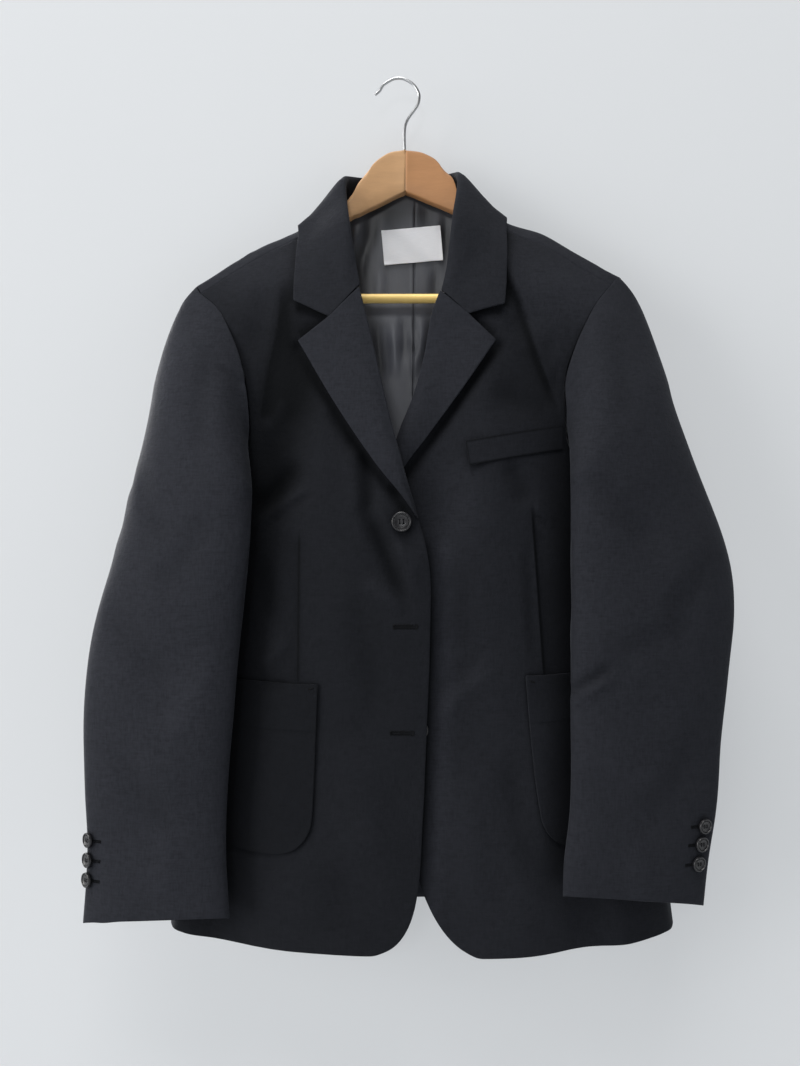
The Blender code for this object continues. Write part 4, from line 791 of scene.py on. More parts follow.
def dimmed(nodes, links, colour, share):
    """The colour times a share."""
    node = nodes.new("ShaderNodeVectorMath")
    node.operation = "SCALE"
    links.new(colour, node.inputs[0])
    links.new(share, node.inputs["Scale"])
    return node.outputs[0]


def bump_of(nodes, links, height, distance, below=None):
    bump = nodes.new("ShaderNodeBump")
    bump.inputs["Distance"].default_value = distance
    links.new(height, bump.inputs["Height"])
    if below is not None:
        links.new(below, bump.inputs["Normal"])
    return bump.outputs["Normal"]


def scaled(colour, factor):
    return tuple(channel * factor for channel in colour)


def paint(nodes, links, shader, factor, colour, low, high):
    """The shader's colour runs between low and high times the colour."""
    made = blend_of(nodes, links, factor, scaled(colour, low), scaled(colour, high))
    links.new(made, shader.inputs["Base Color"])


def wool(name, colour, turn, crevice, painted_shade_keep):
    """Fine plain-woven wool: uneven warp and weft threads, a slight mottle and a dry nap.

    crevice is the share of its colour that it keeps deep between two pieces, where shade is painted in from
    the ambient occlusion; the last argument is the share that it keeps where the piece's own attribute
    paints full shade, as at the foot of a fold.
    """
    made, nodes, links, shader = material(name)
    warp = noise_of(nodes, links, object_pattern(nodes, links, turn, (1, 1, 0.05)), 1500, 2)
    weft = noise_of(nodes, links, object_pattern(nodes, links, turn, (0.05, 0.05, 1)), 1500, 2)
    threads = math_of(nodes, links, "MULTIPLY", math_of(nodes, links, "ADD", warp, weft), 0.5)
    slubs_up = noise_of(nodes, links, object_pattern(nodes, links, turn, (1, 1, 0.2)), 520, 2)
    slubs_across = noise_of(nodes, links, object_pattern(nodes, links, turn, (0.2, 0.2, 1)), 520, 2)
    slubs = math_of(nodes, links, "ADD", slubs_up, slubs_across)
    mottle = noise_of(nodes, links, object_pattern(nodes, links), 210, 3, 0.7)
    tone = math_of(nodes, links, "MULTIPLY", mottle, 0.4)
    tone = math_of(nodes, links, "MULTIPLY_ADD", slubs, 0.3, tone)
    tone = math_of(nodes, links, "MULTIPLY_ADD", threads, 0.6, tone)
    tone = math_of(nodes, links, "MULTIPLY_ADD", tone, 2.4, -1.16)
    woven = blend_of(nodes, links, tone, scaled(colour, 0.64), scaled(colour, 1.4))
    # Painted shade deep between two pieces, from ambient occlusion, only on cloth that faces the front
    if crevice < 1:
        painted_shade = nodes.new("ShaderNodeAmbientOcclusion")
        painted_shade.samples = 6
        painted_shade.inputs["Distance"].default_value = CREVICE_REACH
        open_share = math_of(nodes, links, "POWER", painted_shade.outputs["AO"], CREVICE_POWER)
        closed_share = math_of(nodes, links, "SUBTRACT", 1, open_share)
        normal = nodes.new("ShaderNodeSeparateXYZ")
        links.new(nodes.new("ShaderNodeNewGeometry").outputs["Normal"], normal.inputs[0])
        ahead = math_of(nodes, links, "MULTIPLY", normal.outputs[1], -CREVICE_TURN)
        ahead = math_of(nodes, links, "MINIMUM", ahead, 1)
        ahead = math_of(nodes, links, "MAXIMUM", ahead, 0)
        closed_share = math_of(nodes, links, "MULTIPLY", closed_share, ahead)
        keep = math_of(nodes, links, "MULTIPLY_ADD", closed_share, crevice - 1, 1)
        woven = dimmed(nodes, links, woven, keep)
    # Painted shade from the piece's own attribute: darker above 0, painted light below 0
    if painted_shade_keep < 1:
        depth = nodes.new("ShaderNodeAttribute")
        depth.attribute_name = "painted_shade"
        keep = math_of(nodes, links, "MULTIPLY_ADD", depth.outputs["Fac"], painted_shade_keep - 1, 1)
        woven = dimmed(nodes, links, woven, keep)
    links.new(woven, shader.inputs["Base Color"])
    nap = bump_of(nodes, links, mottle, 0.0006)
    links.new(bump_of(nodes, links, threads, 0.00028, nap), shader.inputs["Normal"])
    set_shader(shader, Roughness=0.88, Sheen_Weight=0.035, Sheen_Roughness=0.4, Specular_IOR_Level=0.12)
    set_shader(shader, Specular_Tint=(0.8, 0.88, 1.0, 1), Sheen_Tint=(0.85, 0.9, 1.0, 1))
    return made


def satin(name, colour):
    """Lining satin: long floats of thread, so its gloss runs across them."""
    made, nodes, links, shader = material(name)
    floats = noise_of(nodes, links, object_pattern(nodes, links, 0, (1, 1, 0.03)), 2400, 1)
    cloudy = noise_of(nodes, links, object_pattern(nodes, links), 35, 3)
    tone = math_of(nodes, links, "MULTIPLY_ADD", floats, 0.5, math_of(nodes, links, "MULTIPLY", cloudy, 0.5))
    # Painted shade from the lining's own attribute darkens its colour
    depth = nodes.new("ShaderNodeAttribute")
    depth.attribute_name = "painted_shade"
    keep = math_of(nodes, links, "MULTIPLY_ADD", depth.outputs["Fac"], -0.6, 1)
    cloth = blend_of(nodes, links, tone, scaled(colour, 0.75), scaled(colour, 1.25))
    links.new(dimmed(nodes, links, cloth, keep), shader.inputs["Base Color"])
    links.new(bump_of(nodes, links, floats, 0.00006), shader.inputs["Normal"])
    set_shader(shader, Roughness=0.38, Specular_IOR_Level=0.5, Sheen_Weight=0.1)
    return made


def label_weave(name, colour):
    """The woven label: fine ribs of thread across it."""
    made, nodes, links, shader = material(name)
    ribs = noise_of(nodes, links, object_pattern(nodes, links, 0, (0.05, 0.05, 1)), 2600, 1)
    paint(nodes, links, shader, ribs, colour, 0.9, 1.05)
    links.new(bump_of(nodes, links, ribs, 0.00012), shader.inputs["Normal"])
    set_shader(shader, Roughness=0.7, Sheen_Weight=0.15)
    return made


def thread(name, colour):
    """Twisted sewing thread."""
    made, nodes, links, shader = material(name)
    ply = noise_of(nodes, links, object_pattern(nodes, links, 35, (1, 1, 0.4)), 3200, 1)
    paint(nodes, links, shader, ply, colour, 0.7, 1.8)
    links.new(bump_of(nodes, links, ply, 0.0001), shader.inputs["Normal"])
    set_shader(shader, Roughness=0.7, Specular_IOR_Level=0.15)
    return made


def horn(name, colour):
    """Polished black horn with faint streaks."""
    made, nodes, links, shader = material(name)
    clouds = noise_of(nodes, links, object_pattern(nodes, links, 20, (1, 1, 0.35)), 420, 4)
    paint(nodes, links, shader, clouds, colour, 0.6, 2.0)
    rough = math_of(nodes, links, "MULTIPLY_ADD", clouds, 0.16, 0.24)
    links.new(rough, shader.inputs["Roughness"])
    set_shader(shader, Specular_IOR_Level=0.5)
    return made


def timber(name, colour, turn):
    """Waxed beech: rings and short pores along the piece."""
    made, nodes, links, shader = material(name)
    rings = noise_of(nodes, links, object_pattern(nodes, links, turn, (0.07, 1, 1)), 190, 4, 0.6)
    pores = noise_of(nodes, links, object_pattern(nodes, links, turn, (0.05, 1, 1)), 1500, 2)
    clouds = noise_of(nodes, links, object_pattern(nodes, links), 45, 2)
    tone = math_of(nodes, links, "MULTIPLY", rings, 0.55)
    tone = math_of(nodes, links, "MULTIPLY_ADD", pores, 0.25, tone)
    tone = math_of(nodes, links, "MULTIPLY_ADD", clouds, 0.25, tone)
    paint(nodes, links, shader, tone, colour, 0.72, 1.26)
    links.new(bump_of(nodes, links, pores, 0.00006), shader.inputs["Normal"])
    set_shader(shader, Roughness=0.42, Specular_IOR_Level=0.4)
    return made


def wire(name, colour):
    """Bright drawn wire, a little rubbed."""
    made, nodes, links, shader = material(name)
    smears = noise_of(nodes, links, object_pattern(nodes, links), 300, 2)
    paint(nodes, links, shader, smears, colour, 0.85, 1.0)
    links.new(math_of(nodes, links, "MULTIPLY_ADD", smears, 0.2, 0.22), shader.inputs["Roughness"])
    set_shader(shader, Metallic=1.0)
    return made


# ---------------------------------------------------------------- operators

class Maker:
    """What all the operators share."""

    bl_options = {"REGISTER", "UNDO"}

    def execute(self, context):
        self.make(context.scene)
        return {"FINISHED"}


# Pieces whose colour takes the painted shade of their own attribute, mostly that of their folds
FOLDED = ("front", "back", "pocket", "breast", "sleeve_top")  # pieces that keep their folds' shade
# Pieces that take no painted shade deep between two pieces
BEHIND = ("back", "sleeve_under")  # pieces with no crevice shade


def wool_piece(scene, node):
    """Fine cloth for one node, with its finish."""
    levels, turn, tone, (width, long, area), carriers = WOOL_PIECES[node]
    piece = fine_copy(node, "cloth_" + node, levels)
    looks = scene.blazer_cloth
    crevice = 1 if node.startswith(BEHIND) else looks.crevice
    folded = node.startswith(FOLDED) or node in LAPEL_TIPS
    # The same wool takes a different colour on each piece: painted light and shade
    look = wool("wool_" + node, scaled(looks.wool, tone), turn, crevice, looks.painted_shade if folded else 1)
    finish_piece(piece, "wool", look, replaces=node)
    return piece


def over_shade(points):
    """Painted shadow on the under front beside the upper front's edge, and painted light beyond it."""
    half, dark, beyond, wide, open_share = OVER_SHADE
    signed, share = beside(curve_through(OVER_EDGE), points[:, 0] / MM, points[:, 2] / MM)
    shade = dark * np.exp(-((signed / half) ** 2)) - open_share * np.exp(-(((signed + beyond) / wide) ** 2))
    return shade * eased(share / 0.05) * eased((1 - share) / 0.05)


class BLAZER_OT_fronts(Maker, bpy.types.Operator):
    """Makes the two fronts with their darts and folds"""

    bl_idname = "blazer.fronts"
    bl_label = "Fronts"

    def make(self, scene):
        for node, (top, foot) in DARTS.items():
            piece = wool_piece(scene, node)
            cut_along(piece, top, foot, (-2 * DART_HALF, -DART_HALF, 0, DART_HALF, 2 * DART_HALF), 9)
            dart = dart_height(top, foot, 1 if top[0] < 0 else -1)
            # The under front takes the upper front's painted shadow
            over = over_shade if node == "front_left" else lambda points: 0
            move_front(piece, lambda points: (dart(points)[0], dart(points)[1] + over(points)))


class BLAZER_OT_backs(Maker, bpy.types.Operator):
    """Makes the two halves of the back with their folds, and paints shade deep in the folds"""

    bl_idname = "blazer.backs"
    bl_label = "Back"

    def make(self, scene):
        for node in ("back_right", "back_left"):
            piece = wool_piece(scene, node)
            points = points_of(piece)
            x, _, z = points.T / MM
            right, left = side_seams(z)
            inside = eased((x - right) / BODY_SIDE) * eased((left - x) / BODY_SIDE)
            points[:, 1] += (fold_height(BACK_FOLDS, x, z) + swell(points, 60)) * inside * MM
            set_points(piece, points)
            set_painted_shade(piece, painted_fold_shade(BACK_FOLDS, x, z) * inside)


class BLAZER_OT_sleeves(Maker, bpy.types.Operator):
    """Makes the top sleeves and under sleeves with their folds"""

    bl_idname = "blazer.sleeves"
    bl_label = "Sleeves"

    def make(self, scene):
        for side in ("right", "left"):
            for part in ("top", "under"):
                move_sleeve(wool_piece(scene, f"sleeve_{part}_{side}"), side)


def draw_out(piece, start, tip, keep):
    """Draws the lapel's lower end out to its tip, x and z in mm, narrower and flatter on its way there, and
    paints shade on it that grows towards the tip.
    """
    points = points_of(piece)
    x, z = points[:, 0] / MM, points[:, 2] / MM
    foot = z.min()
    share = np.clip((start - z) / (start - foot), 0, 1)
    last = points[z < foot + 3] / MM
    middle, level = last[:, 0].mean(), last[:, 1].max()
    bend = share**2
    points[:, 0] += ((tip[0] - middle) * bend - (x - middle) * bend * (1 - keep)) * MM
    points[:, 2] += (tip[1] - foot) * share**1.5 * MM
    lifted = level - points[:, 1] / MM
    points[:, 1] += lifted * bend * TIP_SUNK * MM
    set_points(piece, points)
    set_painted_shade(piece, TIP_SHADE * share**1.5)


class BLAZER_OT_collar(Maker, bpy.types.Operator):
    """Makes the collar and the lapels"""

    bl_idname = "blazer.collar"
    bl_label = "Collar and lapels"

    def make(self, scene):
        for node in ("collar", "lapel_right", "lapel_left"):
            piece = wool_piece(scene, node)
            if node in LAPEL_TIPS:
                draw_out(piece, *LAPEL_TIPS[node])


def hem_height(level, tall):
    """The doubled cloth above the turned-in hem's edge, and shade painted just below it."""

    def height(points):
        above = points[:, 2] / MM - level
        return tall * eased(above + 0.5), 0.3 * np.exp(-(((above + 0.6) / 0.9) ** 2))

    return height


def welt_rim(points):
    """The welt is pressed into the front, and shade is painted along its rim."""
    start, end, tall, rim = WELT
    x, z = points[:, 0] / MM, points[:, 2] / MM
    top = np.interp(x, (start[0], end[0]), (start[1], end[1]))
    inwards = np.minimum(np.minimum(top - z, z - top + tall), x - start[0] - 3.6 * (top - z) / tall)
    return -WELT_SUNK, 1.15 * np.exp(-((inwards / rim) ** 2))


class BLAZER_OT_pockets(Maker, bpy.types.Operator):
    """Makes the patch pockets with their turned-in mouths, and the breast welt"""

    bl_idname = "blazer.pockets"
    bl_label = "Pockets"

    def make(self, scene):
        for node, (level, tall) in POCKET_HEMS.items():
            piece = wool_piece(scene, node)
            points = points_of(piece) / MM
            low, high = points.min(axis=0), points.max(axis=0)
            cut_along(piece, (low[0], level), (high[0], level), (-0.9, 0, 0.9), 6)
            move_front(piece, hem_height(level, tall))
        move_front(wool_piece(scene, "breast_welt"), welt_rim)


class BLAZER_OT_lining(Maker, bpy.types.Operator):
    """Makes the back lining with its centre seam, and the bare label that is sewn to it"""

    bl_idname = "blazer.lining"
    bl_label = "Lining and label"

    def make(self, scene):
        looks = scene.blazer_cloth
        lining = fine_copy("lining_back", "cloth_lining_back", 3)
        top = (LINING_SEAM[0], LINING_SEAM_Z[0])
        foot = (LINING_SEAM[1], LINING_SEAM_Z[1])
        cut_along(lining, top, foot, (-1.6, -0.8, 0, 0.8, 1.6), 12)
        points = points_of(lining)
        x, _, z = points.T / MM
        signed, share = beside(np.array((top, foot), float), x, z)
        spacing, tall = LINING_PUCKER
        ends = eased(share / 0.02) * eased((1 - share) / 0.05)
        seam = 0.9 * np.exp(-((signed / 0.6) ** 2)) - 0.5 * np.exp(-(((signed - 1.6) / 1.0) ** 2))
        wave = np.sin(z * 2 * math.pi / spacing + 1.3 * np.sin(z / 9))
        pucker = tall * wave * np.exp(-((signed / 5) ** 2))
        near = eased((x + 110) / 40) * eased((115 - x) / 40)
        height = fold_height(LINING_FOLDS, x, z) * near - (seam + pucker) * ends
        points[:, 1] -= height * MM
        points[:, 2] += LINING_RISE * eased((z + 168) / 30) * eased((80 - abs(x)) / 45) * MM
        set_points(lining, points)
        below = z < LINING_BAR
        # Shade painted on the lining: in its folds, beside its centre seam, in its puckers, and in broad
        # patches
        shade = 2.8 * painted_fold_shade(LINING_FOLDS, x, z)
        shade += (0.3 + 0.35 * below) * np.exp(-(((signed - 1.2) / 0.8) ** 2)) * ends
        shade += 0.5 * eased(wave) * (0.4 + 0.6 * below) * np.exp(-((signed / 3.5) ** 2)) * ends
        for middle_x, middle_z, half_x, half_z, dark in LINING_LIGHT:
            shade += dark * np.exp(-(((x - middle_x) / half_x) ** 2) - ((z - middle_z) / half_z) ** 2)
        set_painted_shade(lining, shade)
        finish_piece(lining, "satin", satin("lining_satin", tuple(looks.lining)), replaces="lining_back")

        label = fine_copy("label", "cloth_label", 3)
        points = points_of(label)
        low, high = points.min(axis=0) / MM, points.max(axis=0) / MM
        x, _, z = points.T / MM
        rim = np.minimum(np.minimum(x - low[0], high[0] - x), np.minimum(z - low[2], high[2] - z))
        turned = 0.25 * eased((3.2 - rim) / 0.8)
        lift = 0.8 * np.exp(-(((x - low[0]) / 9) ** 2) - ((z - high[2]) / 7) ** 2)
        waves = 0.25 * np.sin((x + z) / 5.5)
        points[:, 1] -= (turned + lift + waves * eased(rim / 6)) * MM
        set_points(label, points)
        finish_piece(label, "label_weave", label_weave("label_weave", tuple(looks.label)), replaces="label")


# Steps of a button's face from its rim inwards, shares of its diameter and of its thickness
BUTTON_STEPS = ((0.075, 0.0), (0.03, -0.16), (0.03, 0.0), (0.03, 0.08), (0.09, -0.09))
BUTTON_RELIEF = 2.1  # by which all the steps are deepened
BUTTON_SPREAD = 0.095  # from the middle to a hole along each side, a share of the diameter
BUTTON_HOLE = 0.048  # radius of a hole, a share of the diameter


def button_blank(name, size, thick, sides):
    """A turned button: a rounded rim round a shallow dish, with four holes. Its face looks up Z."""
    bpy.ops.object.select_all(action="DESELECT")
    bpy.ops.mesh.primitive_cylinder_add(vertices=sides, radius=size / 2, depth=thick)
    blank = bpy.context.object
    blank.name = name
    bpy.ops.object.mode_set(mode="EDIT")
    bpy.ops.mesh.select_mode(type="FACE")
    for inset, drop in BUTTON_STEPS:
        bpy.ops.mesh.select_all(action="DESELECT")
        mesh = bmesh.from_edit_mesh(blank.data)
        mesh.faces.ensure_lookup_table()
        top = max(
            (face for face in mesh.faces if face.normal.z > 0.99), key=lambda face: len(face.verts)
        )
        top.select = True
        bmesh.update_edit_mesh(blank.data)
        bpy.ops.mesh.inset(thickness=size * inset, depth=0)
        bpy.ops.transform.translate(value=(0, 0, thick * drop * BUTTON_RELIEF))
    bpy.ops.mesh.select_mode(type="EDGE")
    bpy.ops.mesh.select_all(action="DESELECT")
    mesh = bmesh.from_edit_mesh(blank.data)
    for edge in mesh.edges:
        middle = (edge.verts[0].co + edge.verts[1].co) / 2
        around = abs(edge.verts[0].co.z - edge.verts[1].co.z) < 1e-6
        outer = math.hypot(middle.x, middle.y) > size * 0.49
        edge.select = around and outer
    bmesh.update_edit_mesh(blank.data)
    bpy.ops.mesh.bevel(offset=thick * 0.28, segments=4, affect="EDGES")
    bpy.ops.mesh.select_all(action="DESELECT")
    mesh = bmesh.from_edit_mesh(blank.data)
    for edge in mesh.edges:
        middle = (edge.verts[0].co + edge.verts[1].co) / 2
        reach = math.hypot(middle.x, middle.y)
        around = abs(edge.verts[0].co.z - edge.verts[1].co.z) < 1e-6
        edge.select = around and middle.z > thick * 0.2 and size * 0.36 < reach < size * 0.44
    bmesh.update_edit_mesh(blank.data)
    bpy.ops.mesh.bevel(offset=thick * 0.10, segments=3, affect="EDGES")
    bpy.ops.object.mode_set(mode="OBJECT")
    drills = []
    spread = size * BUTTON_SPREAD
    for step_x in (-1, 1):
        for step_y in (-1, 1):
            place = (step_x * spread, step_y * spread, 0)
            bpy.ops.mesh.primitive_cylinder_add(
                vertices=16, radius=size * BUTTON_HOLE, depth=thick * 3, location=place
            )
            drills.append(bpy.context.object)
    for drill in drills:
        apply_modifier(blank, "BOOLEAN", operation="DIFFERENCE", solver="EXACT", object=drill)
        bpy.data.objects.remove(drill)
    alone(blank)
    bpy.ops.object.shade_smooth_by_angle(angle=math.radians(38))
    return blank


def seat_of(node):
    """Centre, outward axis and thickness of a button's solid."""
    points = np.unique(np.round(points_of(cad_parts[node]), 6), axis=0)
    centre = (points.min(axis=0) + points.max(axis=0)) / 2
    _, axes = np.linalg.eigh((points - centre).T @ (points - centre))
    axis = axes[:, 0] * -np.sign(axes[1, 0])
    reach = (points - centre) @ axis
    return centre + axis * (reach.min() + reach.max()) / 2, axis, reach.max() - reach.min()


def sewing_of(size, thick):
    """The crossing threads that hold a button: two bars of three strands."""
    mesh = bmesh.new()
    spread = size * BUTTON_SPREAD
    for side in (-1, 1):
        for strand in (-1, 0, 1):
            x = side * spread + strand * size * 0.016
            rise = thick * (0.34 + 0.05 * (strand == 0))
            ends = thick * -0.1
            route = [
                (x, -spread, ends), (x, -spread * 0.96, rise * 0.7), (x, -spread * 0.5, rise),
                (x, spread * 0.5, rise), (x, spread * 0.96, rise * 0.7), (x, spread, ends),
            ]
            tube(mesh, route, size * 0.011, 6)
    return mesh


class BLAZER_OT_buttons(Maker, bpy.types.Operator):
    """Makes the horn buttons with their rims, holes and threads"""

    bl_idname = "blazer.buttons"
    bl_label = "Buttons"

    def make(self, scene):
        sizes = scene.blazer_buttons
        black = horn("black_horn", tuple(sizes.horn))
        sewing = thread("button_thread", scaled(tuple(scene.blazer_cloth.thread), 1.6))
        for kind, size in (("front", sizes.front), ("cuff", sizes.cuff)):
            nodes = sorted(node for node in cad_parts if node.startswith("button_" + kind))
            thick = seat_of(nodes[0])[2]
            blank = button_blank("blank_" + kind, size, thick, sizes.sides)
            for node in nodes:
                centre, axis, _ = seat_of(node)
                if kind == "front":
                    centre[1] -= front_height(centre.reshape(1, 3))[0][0] * MM
                face = Vector(axis).to_track_quat("Z", "Y").to_matrix().to_4x4()
                place = Matrix.Translation(Vector(centre)) @ face
                piece = bpy.data.objects.new("horn_" + node, blank.data.copy())
                bpy.context.scene.collection.objects.link(piece)
                piece.data.transform(place)
                finish_piece(piece, "horn", black, replaces=node)
                threads = sewing_of(size, thick)
                threads.transform(place)
                finish_piece(mesh_piece("thread_" + node, threads), "wool", sewing)
            bpy.data.objects.remove(blank)


def cloth_tree(*pieces):
    """What the sewing is laid on: the faces of the finished cloth."""
    points = []
    faces = []
    for name in pieces:
        data = bpy.data.objects[name].data
        first = len(points)
        points += [vertex.co.copy() for vertex in data.vertices]
        faces += [[first + index for index in polygon.vertices] for polygon in data.polygons]
    return BVHTree.FromPolygons(points, faces)


def surface(tree, x, z):
    """The cloth's front face at x, z in mm: the point and its normal."""
    place, normal, _, _ = tree.ray_cast(Vector((x * MM, -0.4, z * MM)), Vector((0, 1, 0)))
    if place is None:
        raise RuntimeError(f"no cloth in front at {x}, {z}")
    return place, normal if normal.y < 0 else -normal


def rim_of(tree, x, into, levels):
    """Where the cloth begins, mm, from x inwards, at all the levels."""
    step = 0.1
    while True:
        hits = [tree.ray_cast(Vector((x * MM, -0.4, z * MM)), Vector((0, 1, 0)))[0] for z in levels]
        if all(hit is not None for hit in hits):
            return x
        x += into * step


def stitch(mesh, tree, start, end, lift=0.16, radius=0.24):
    """One short stitch on the cloth from start to end, x and z in mm."""
    route = []
    for share, rise in ((0, -0.6), (0.12, 0.5), (0.5, 1.0), (0.88, 0.5), (1, -0.6)):
        x = start[0] + (end[0] - start[0]) * share
        z = start[1] + (end[1] - start[1]) * share
        place, normal = surface(tree, x, z)
        route.append(place + normal * (lift * rise * MM))
    tube(mesh, route, radius * MM, 5)


def keyhole(mesh, tree, inner, eye, z):
    """Whip stitches round a slit with a round eye at the edge's end, and a bar at the inner end."""
    half = 0.9
    eye_radius = 1.9
    run = []
    for x in np.arange(inner, eye - eye_radius, 0.62):
        run.append((x, z + half * 0.25, 0, 1))
        run.append((x, z - half * 0.25, 0, -1))
    for angle in np.linspace(-150, 150, 17):
        turn = math.radians(angle)
        run.append((eye + 0.75 * math.cos(turn), z + 0.75 * math.sin(turn), math.cos(turn), math.sin(turn)))
    for number, (x, height, out_x, out_z) in enumerate(run):
        reach = 2.1 + 0.6 * math.sin(number * 2.3)
        stitch(mesh, tree, (x, height), (x + out_x * reach, height + out_z * reach))
    for x in (inner - 0.9, inner - 0.4, inner + 0.1):
        stitch(mesh, tree, (x, z - 2.6), (x, z + 2.6), 0.45, 0.3)


class BLAZER_OT_sewing(Maker, bpy.types.Operator):
    """Makes the buttonholes, the bar tacks and the stitches that hold the label"""

    bl_idname = "blazer.sewing"
    bl_label = "Sewing"

    def make(self, scene):
        black = thread("buttonhole_thread", tuple(scene.blazer_cloth.thread))
        sewn_on = [f"cloth_{part}_{side}" for part in ("front", "pocket") for side in ("right", "left")]
        fronts = cloth_tree(*sewn_on)
        for number, (inner, eye, z) in enumerate(FRONT_HOLES, 2):
            mesh = bmesh.new()
            keyhole(mesh, fronts, inner, eye, z)
            finish_piece(mesh_piece(f"buttonhole_front_{number}", mesh), "wool", black)
        mesh = bmesh.new()
        for x, z, turn in TACKS:
            slope = math.radians(turn)
            for step in np.arange(-2.6, 2.7, 0.5):
                middle = (x + step * math.cos(slope), z + step * math.sin(slope))
                across = (0.75 * math.sin(slope + 0.3), -0.75 * math.cos(slope + 0.3))
                start = (middle[0] - across[0], middle[1] - across[1])
                end = (middle[0] + across[0], middle[1] + across[1])
                stitch(mesh, fronts, start, end, 0.3, 0.24)
        finish_piece(mesh_piece("pocket_tacks", mesh), "wool", black)
        for side, inwards in (("right", 1), ("left", -1)):
            sleeve = cloth_tree(f"cloth_sleeve_top_{side}", f"cloth_sleeve_under_{side}")
            mesh = bmesh.new()
            for number in (1, 2, 3):
                centre = seat_of(f"button_cuff_{side}_{number}")[0] / MM
                first = centre[0] + inwards * 2
                for step in np.arange(0, CUFF_HOLE, 0.6):
                    x = first + inwards * step
                    for up in (-1, 1):
                        stitch(mesh, sleeve, (x, centre[2] + up * 0.15), (x, centre[2] + up * 1.5))
                x = first + inwards * CUFF_HOLE
                stitch(mesh, sleeve, (x, centre[2] - 2), (x, centre[2] + 2), 0.4, 0.3)
            finish_piece(mesh_piece(f"buttonholes_cuff_{side}", mesh), "wool", black)
        label = cloth_tree("cloth_label")
        low, high = (np.array(corner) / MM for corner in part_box("label"))
        mesh = bmesh.new()
        white = thread("label_thread", scaled(tuple(scene.blazer_cloth.label), 0.8))
        for share in np.linspace(0.12, 0.9, 9):
            for edge, into in ((low[0], 1), (high[0], -1)):
                z = low[2] + share * (high[2] - low[2])
                x = rim_of(label, edge, into, (z - 0.8, z, z + 0.8)) + into * 0.7
                stitch(mesh, label, (x, z - 0.8), (x, z + 0.8), 0.12, 0.14)
        finish_piece(mesh_piece("label_stitches", mesh), "label_weave", white)


class BLAZER_OT_hanger(Maker, bpy.types.Operator):
    """Makes the two wooden arms, the trouser bar and the hook"""

    bl_idname = "blazer.hanger"
    bl_label = "Hanger"

    def make(self, scene):
        looks = scene.blazer_hanger
        for side, colour, turn in (("right", looks.arm_right, 28), ("left", looks.arm_left, -26)):
            node = "hanger_arm_" + side
            arm = fine_copy(node, "wood_" + side, 2, 0.9, 38)
            points = points_of(arm)
            away = -1 if side == "right" else 1
            joint = (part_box("hanger_arm_right")[1][0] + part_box("hanger_arm_left")[0][0]) / 2
            near = np.clip(1 - abs(points[:, 0] - joint) / 0.002, 0, 1)
            points[:, 0] -= away * near * 0.00033
            set_points(arm, points)
            finish_piece(arm, "wood", timber("timber_" + side, tuple(colour), turn), replaces=node)
        bar = fine_copy("hanger_bar", "wood_bar", 2, 1.0, 60)
        finish_piece(bar, "bar_wood", timber("timber_bar", tuple(looks.bar), 0), replaces="hanger_bar")
        hook = fine_copy("hanger_hook", "wire_hook", 1, 1.0, 60)
        finish_piece(hook, "wire", wire("bright_wire", tuple(looks.wire)), replaces="hanger_hook")


def stage_paint(name, colour, glow):
    """Matt paint, faintly cloudy, that gives some light by itself and is clear from behind."""
    made, nodes, links, shader = material(name)
    clouds = noise_of(nodes, links, object_pattern(nodes, links), 3, 2)
    paint(nodes, links, shader, clouds, colour, 0.985, 1.01)
    shader.inputs["Emission Color"].default_value = (0.95, 0.98, 1.0, 1)
    set_shader(shader, Roughness=0.9, Emission_Strength=glow, Specular_IOR_Level=0.1)
    clear = nodes.new("ShaderNodeBsdfTransparent")
    sides = nodes.new("ShaderNodeNewGeometry")
    mix = nodes.new("ShaderNodeMixShader")
    links.new(sides.outputs["Backfacing"], mix.inputs[0])
    links.new(shader.outputs[0], mix.inputs[1])
    links.new(clear.outputs[0], mix.inputs[2])
    output = next(node for node in nodes if node.type == "OUTPUT_MATERIAL")
    links.new(mix.outputs[0], output.inputs["Surface"])
    return made


# Lights: name, place, size, power, colour
LIGHTS = (
    ("top", (-0.6, -1.7, 4.2), 3.0, 260, (1, 0.985, 0.96)),
    ("left", (-4.6, -2.0, 0.3), 3.0, 225, (1, 0.985, 0.96)),
    ("right", (4.6, -2.0, 0.0), 3.0, 26, (0.96, 0.98, 1)),
    ("front", (-0.5, -3.4, 0.5), 0.5, 13, (0.96, 0.98, 1)),
    ("behind", (-3.4, 2.6, 1.0), 2.0, 330, (1, 0.985, 0.96)),
)
AMBIENT = 0.04
WALL_Y = 0.034
FLOOR_Z = -1.6
STAGE_SIZE = 40


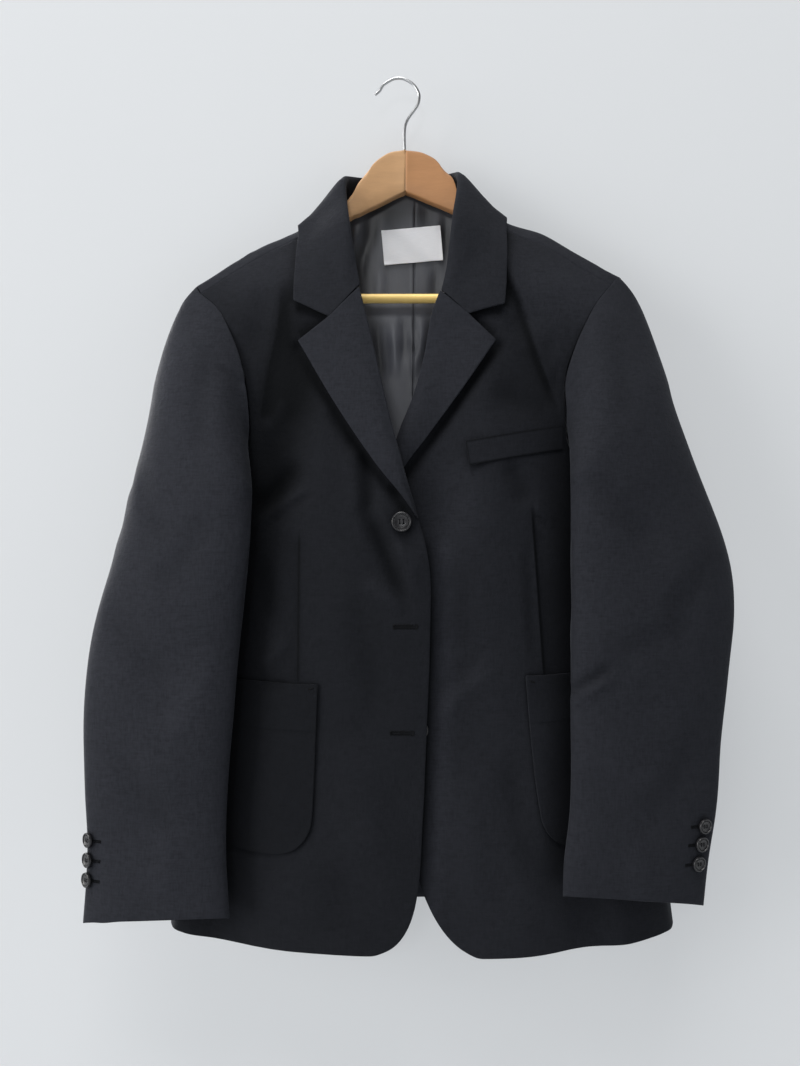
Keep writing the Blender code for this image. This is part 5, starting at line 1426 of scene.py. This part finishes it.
class BLAZER_OT_stage(Maker, bpy.types.Operator):
    """Sets the wall, the floor, the lights and the camera"""

    bl_idname = "blazer.stage"
    bl_label = "Stage"

    def make(self, scene):
        looks = scene.blazer_stage
        scene.view_settings.view_transform = "Standard"
        world = bpy.data.worlds.new("studio")
        world.use_nodes = True
        world.node_tree.nodes["Background"].inputs[0].default_value = (0.85, 0.88, 0.92, 1)
        world.node_tree.nodes["Background"].inputs[1].default_value = AMBIENT
        scene.world = world
        middle = Vector((0, 0, (LOW[2] + HIGH[2]) / 2))
        planes = (("wall", (0, WALL_Y, middle.z), math.pi / 2), ("floor", (0, 0, FLOOR_Z), 0))
        for name, place, turn in planes:
            bpy.ops.object.select_all(action="DESELECT")
            bpy.ops.mesh.primitive_plane_add(size=STAGE_SIZE, location=place, rotation=(turn, 0, 0))
            plane = bpy.context.object
            plane.name = name
            plane.data.materials.append(stage_paint(name + "_paint", tuple(looks.wall), looks.glow))
            plane.visible_shadow = name != "wall"  # so that the light behind it reaches the back
        for name, place, size, power, colour in LIGHTS:
            data = bpy.data.lights.new(name, "AREA")
            data.size = size
            data.energy = power
            data.color = colour
            light = bpy.data.objects.new(name, data)
            light.location = place
            light.rotation_mode = "QUATERNION"
            light.rotation_quaternion = (middle - Vector(place)).to_track_quat("-Z", "Y")
            scene.collection.objects.link(light)
        data = bpy.data.cameras.new("camera")
        data.lens = looks.lens
        camera = bpy.data.objects.new("camera", data)
        camera.location = looks.eye
        camera.rotation_euler = (math.pi / 2, 0, 0)
        scene.collection.objects.link(camera)
        scene.camera = camera


OPERATORS = (
    BLAZER_OT_fronts,
    BLAZER_OT_backs,
    BLAZER_OT_sleeves,
    BLAZER_OT_collar,
    BLAZER_OT_pockets,
    BLAZER_OT_lining,
    BLAZER_OT_buttons,
    BLAZER_OT_sewing,
    BLAZER_OT_hanger,
    BLAZER_OT_stage,
)


class BLAZER_PT_dress(bpy.types.Panel):
    """Lists the blazer's settings and the pieces that can be made"""

    bl_idname = "BLAZER_PT_dress"
    bl_label = "Blazer"
    bl_space_type = "VIEW_3D"
    bl_region_type = "UI"
    bl_category = "Blazer"

    def draw(self, context):
        for name, group in SETTINGS.items():
            box = self.layout.box()
            for setting in group.__annotations__:
                box.prop(getattr(context.scene, name), setting)
        for operator in OPERATORS:
            self.layout.operator(operator.bl_idname)


def register():
    for made in (*SETTINGS.values(), *OPERATORS, BLAZER_PT_dress):
        bpy.utils.register_class(made)
    for name, group in SETTINGS.items():
        setattr(bpy.types.Scene, name, PointerProperty(type=group))


def unregister():
    for name in SETTINGS:
        delattr(bpy.types.Scene, name)
    for made in reversed((*SETTINGS.values(), *OPERATORS, BLAZER_PT_dress)):
        bpy.utils.unregister_class(made)


def main():
    register()
    for operator in OPERATORS:
        group, name = operator.bl_idname.split(".")
        getattr(getattr(bpy.ops, group), name)()


if __name__ == "__main__":
    main()
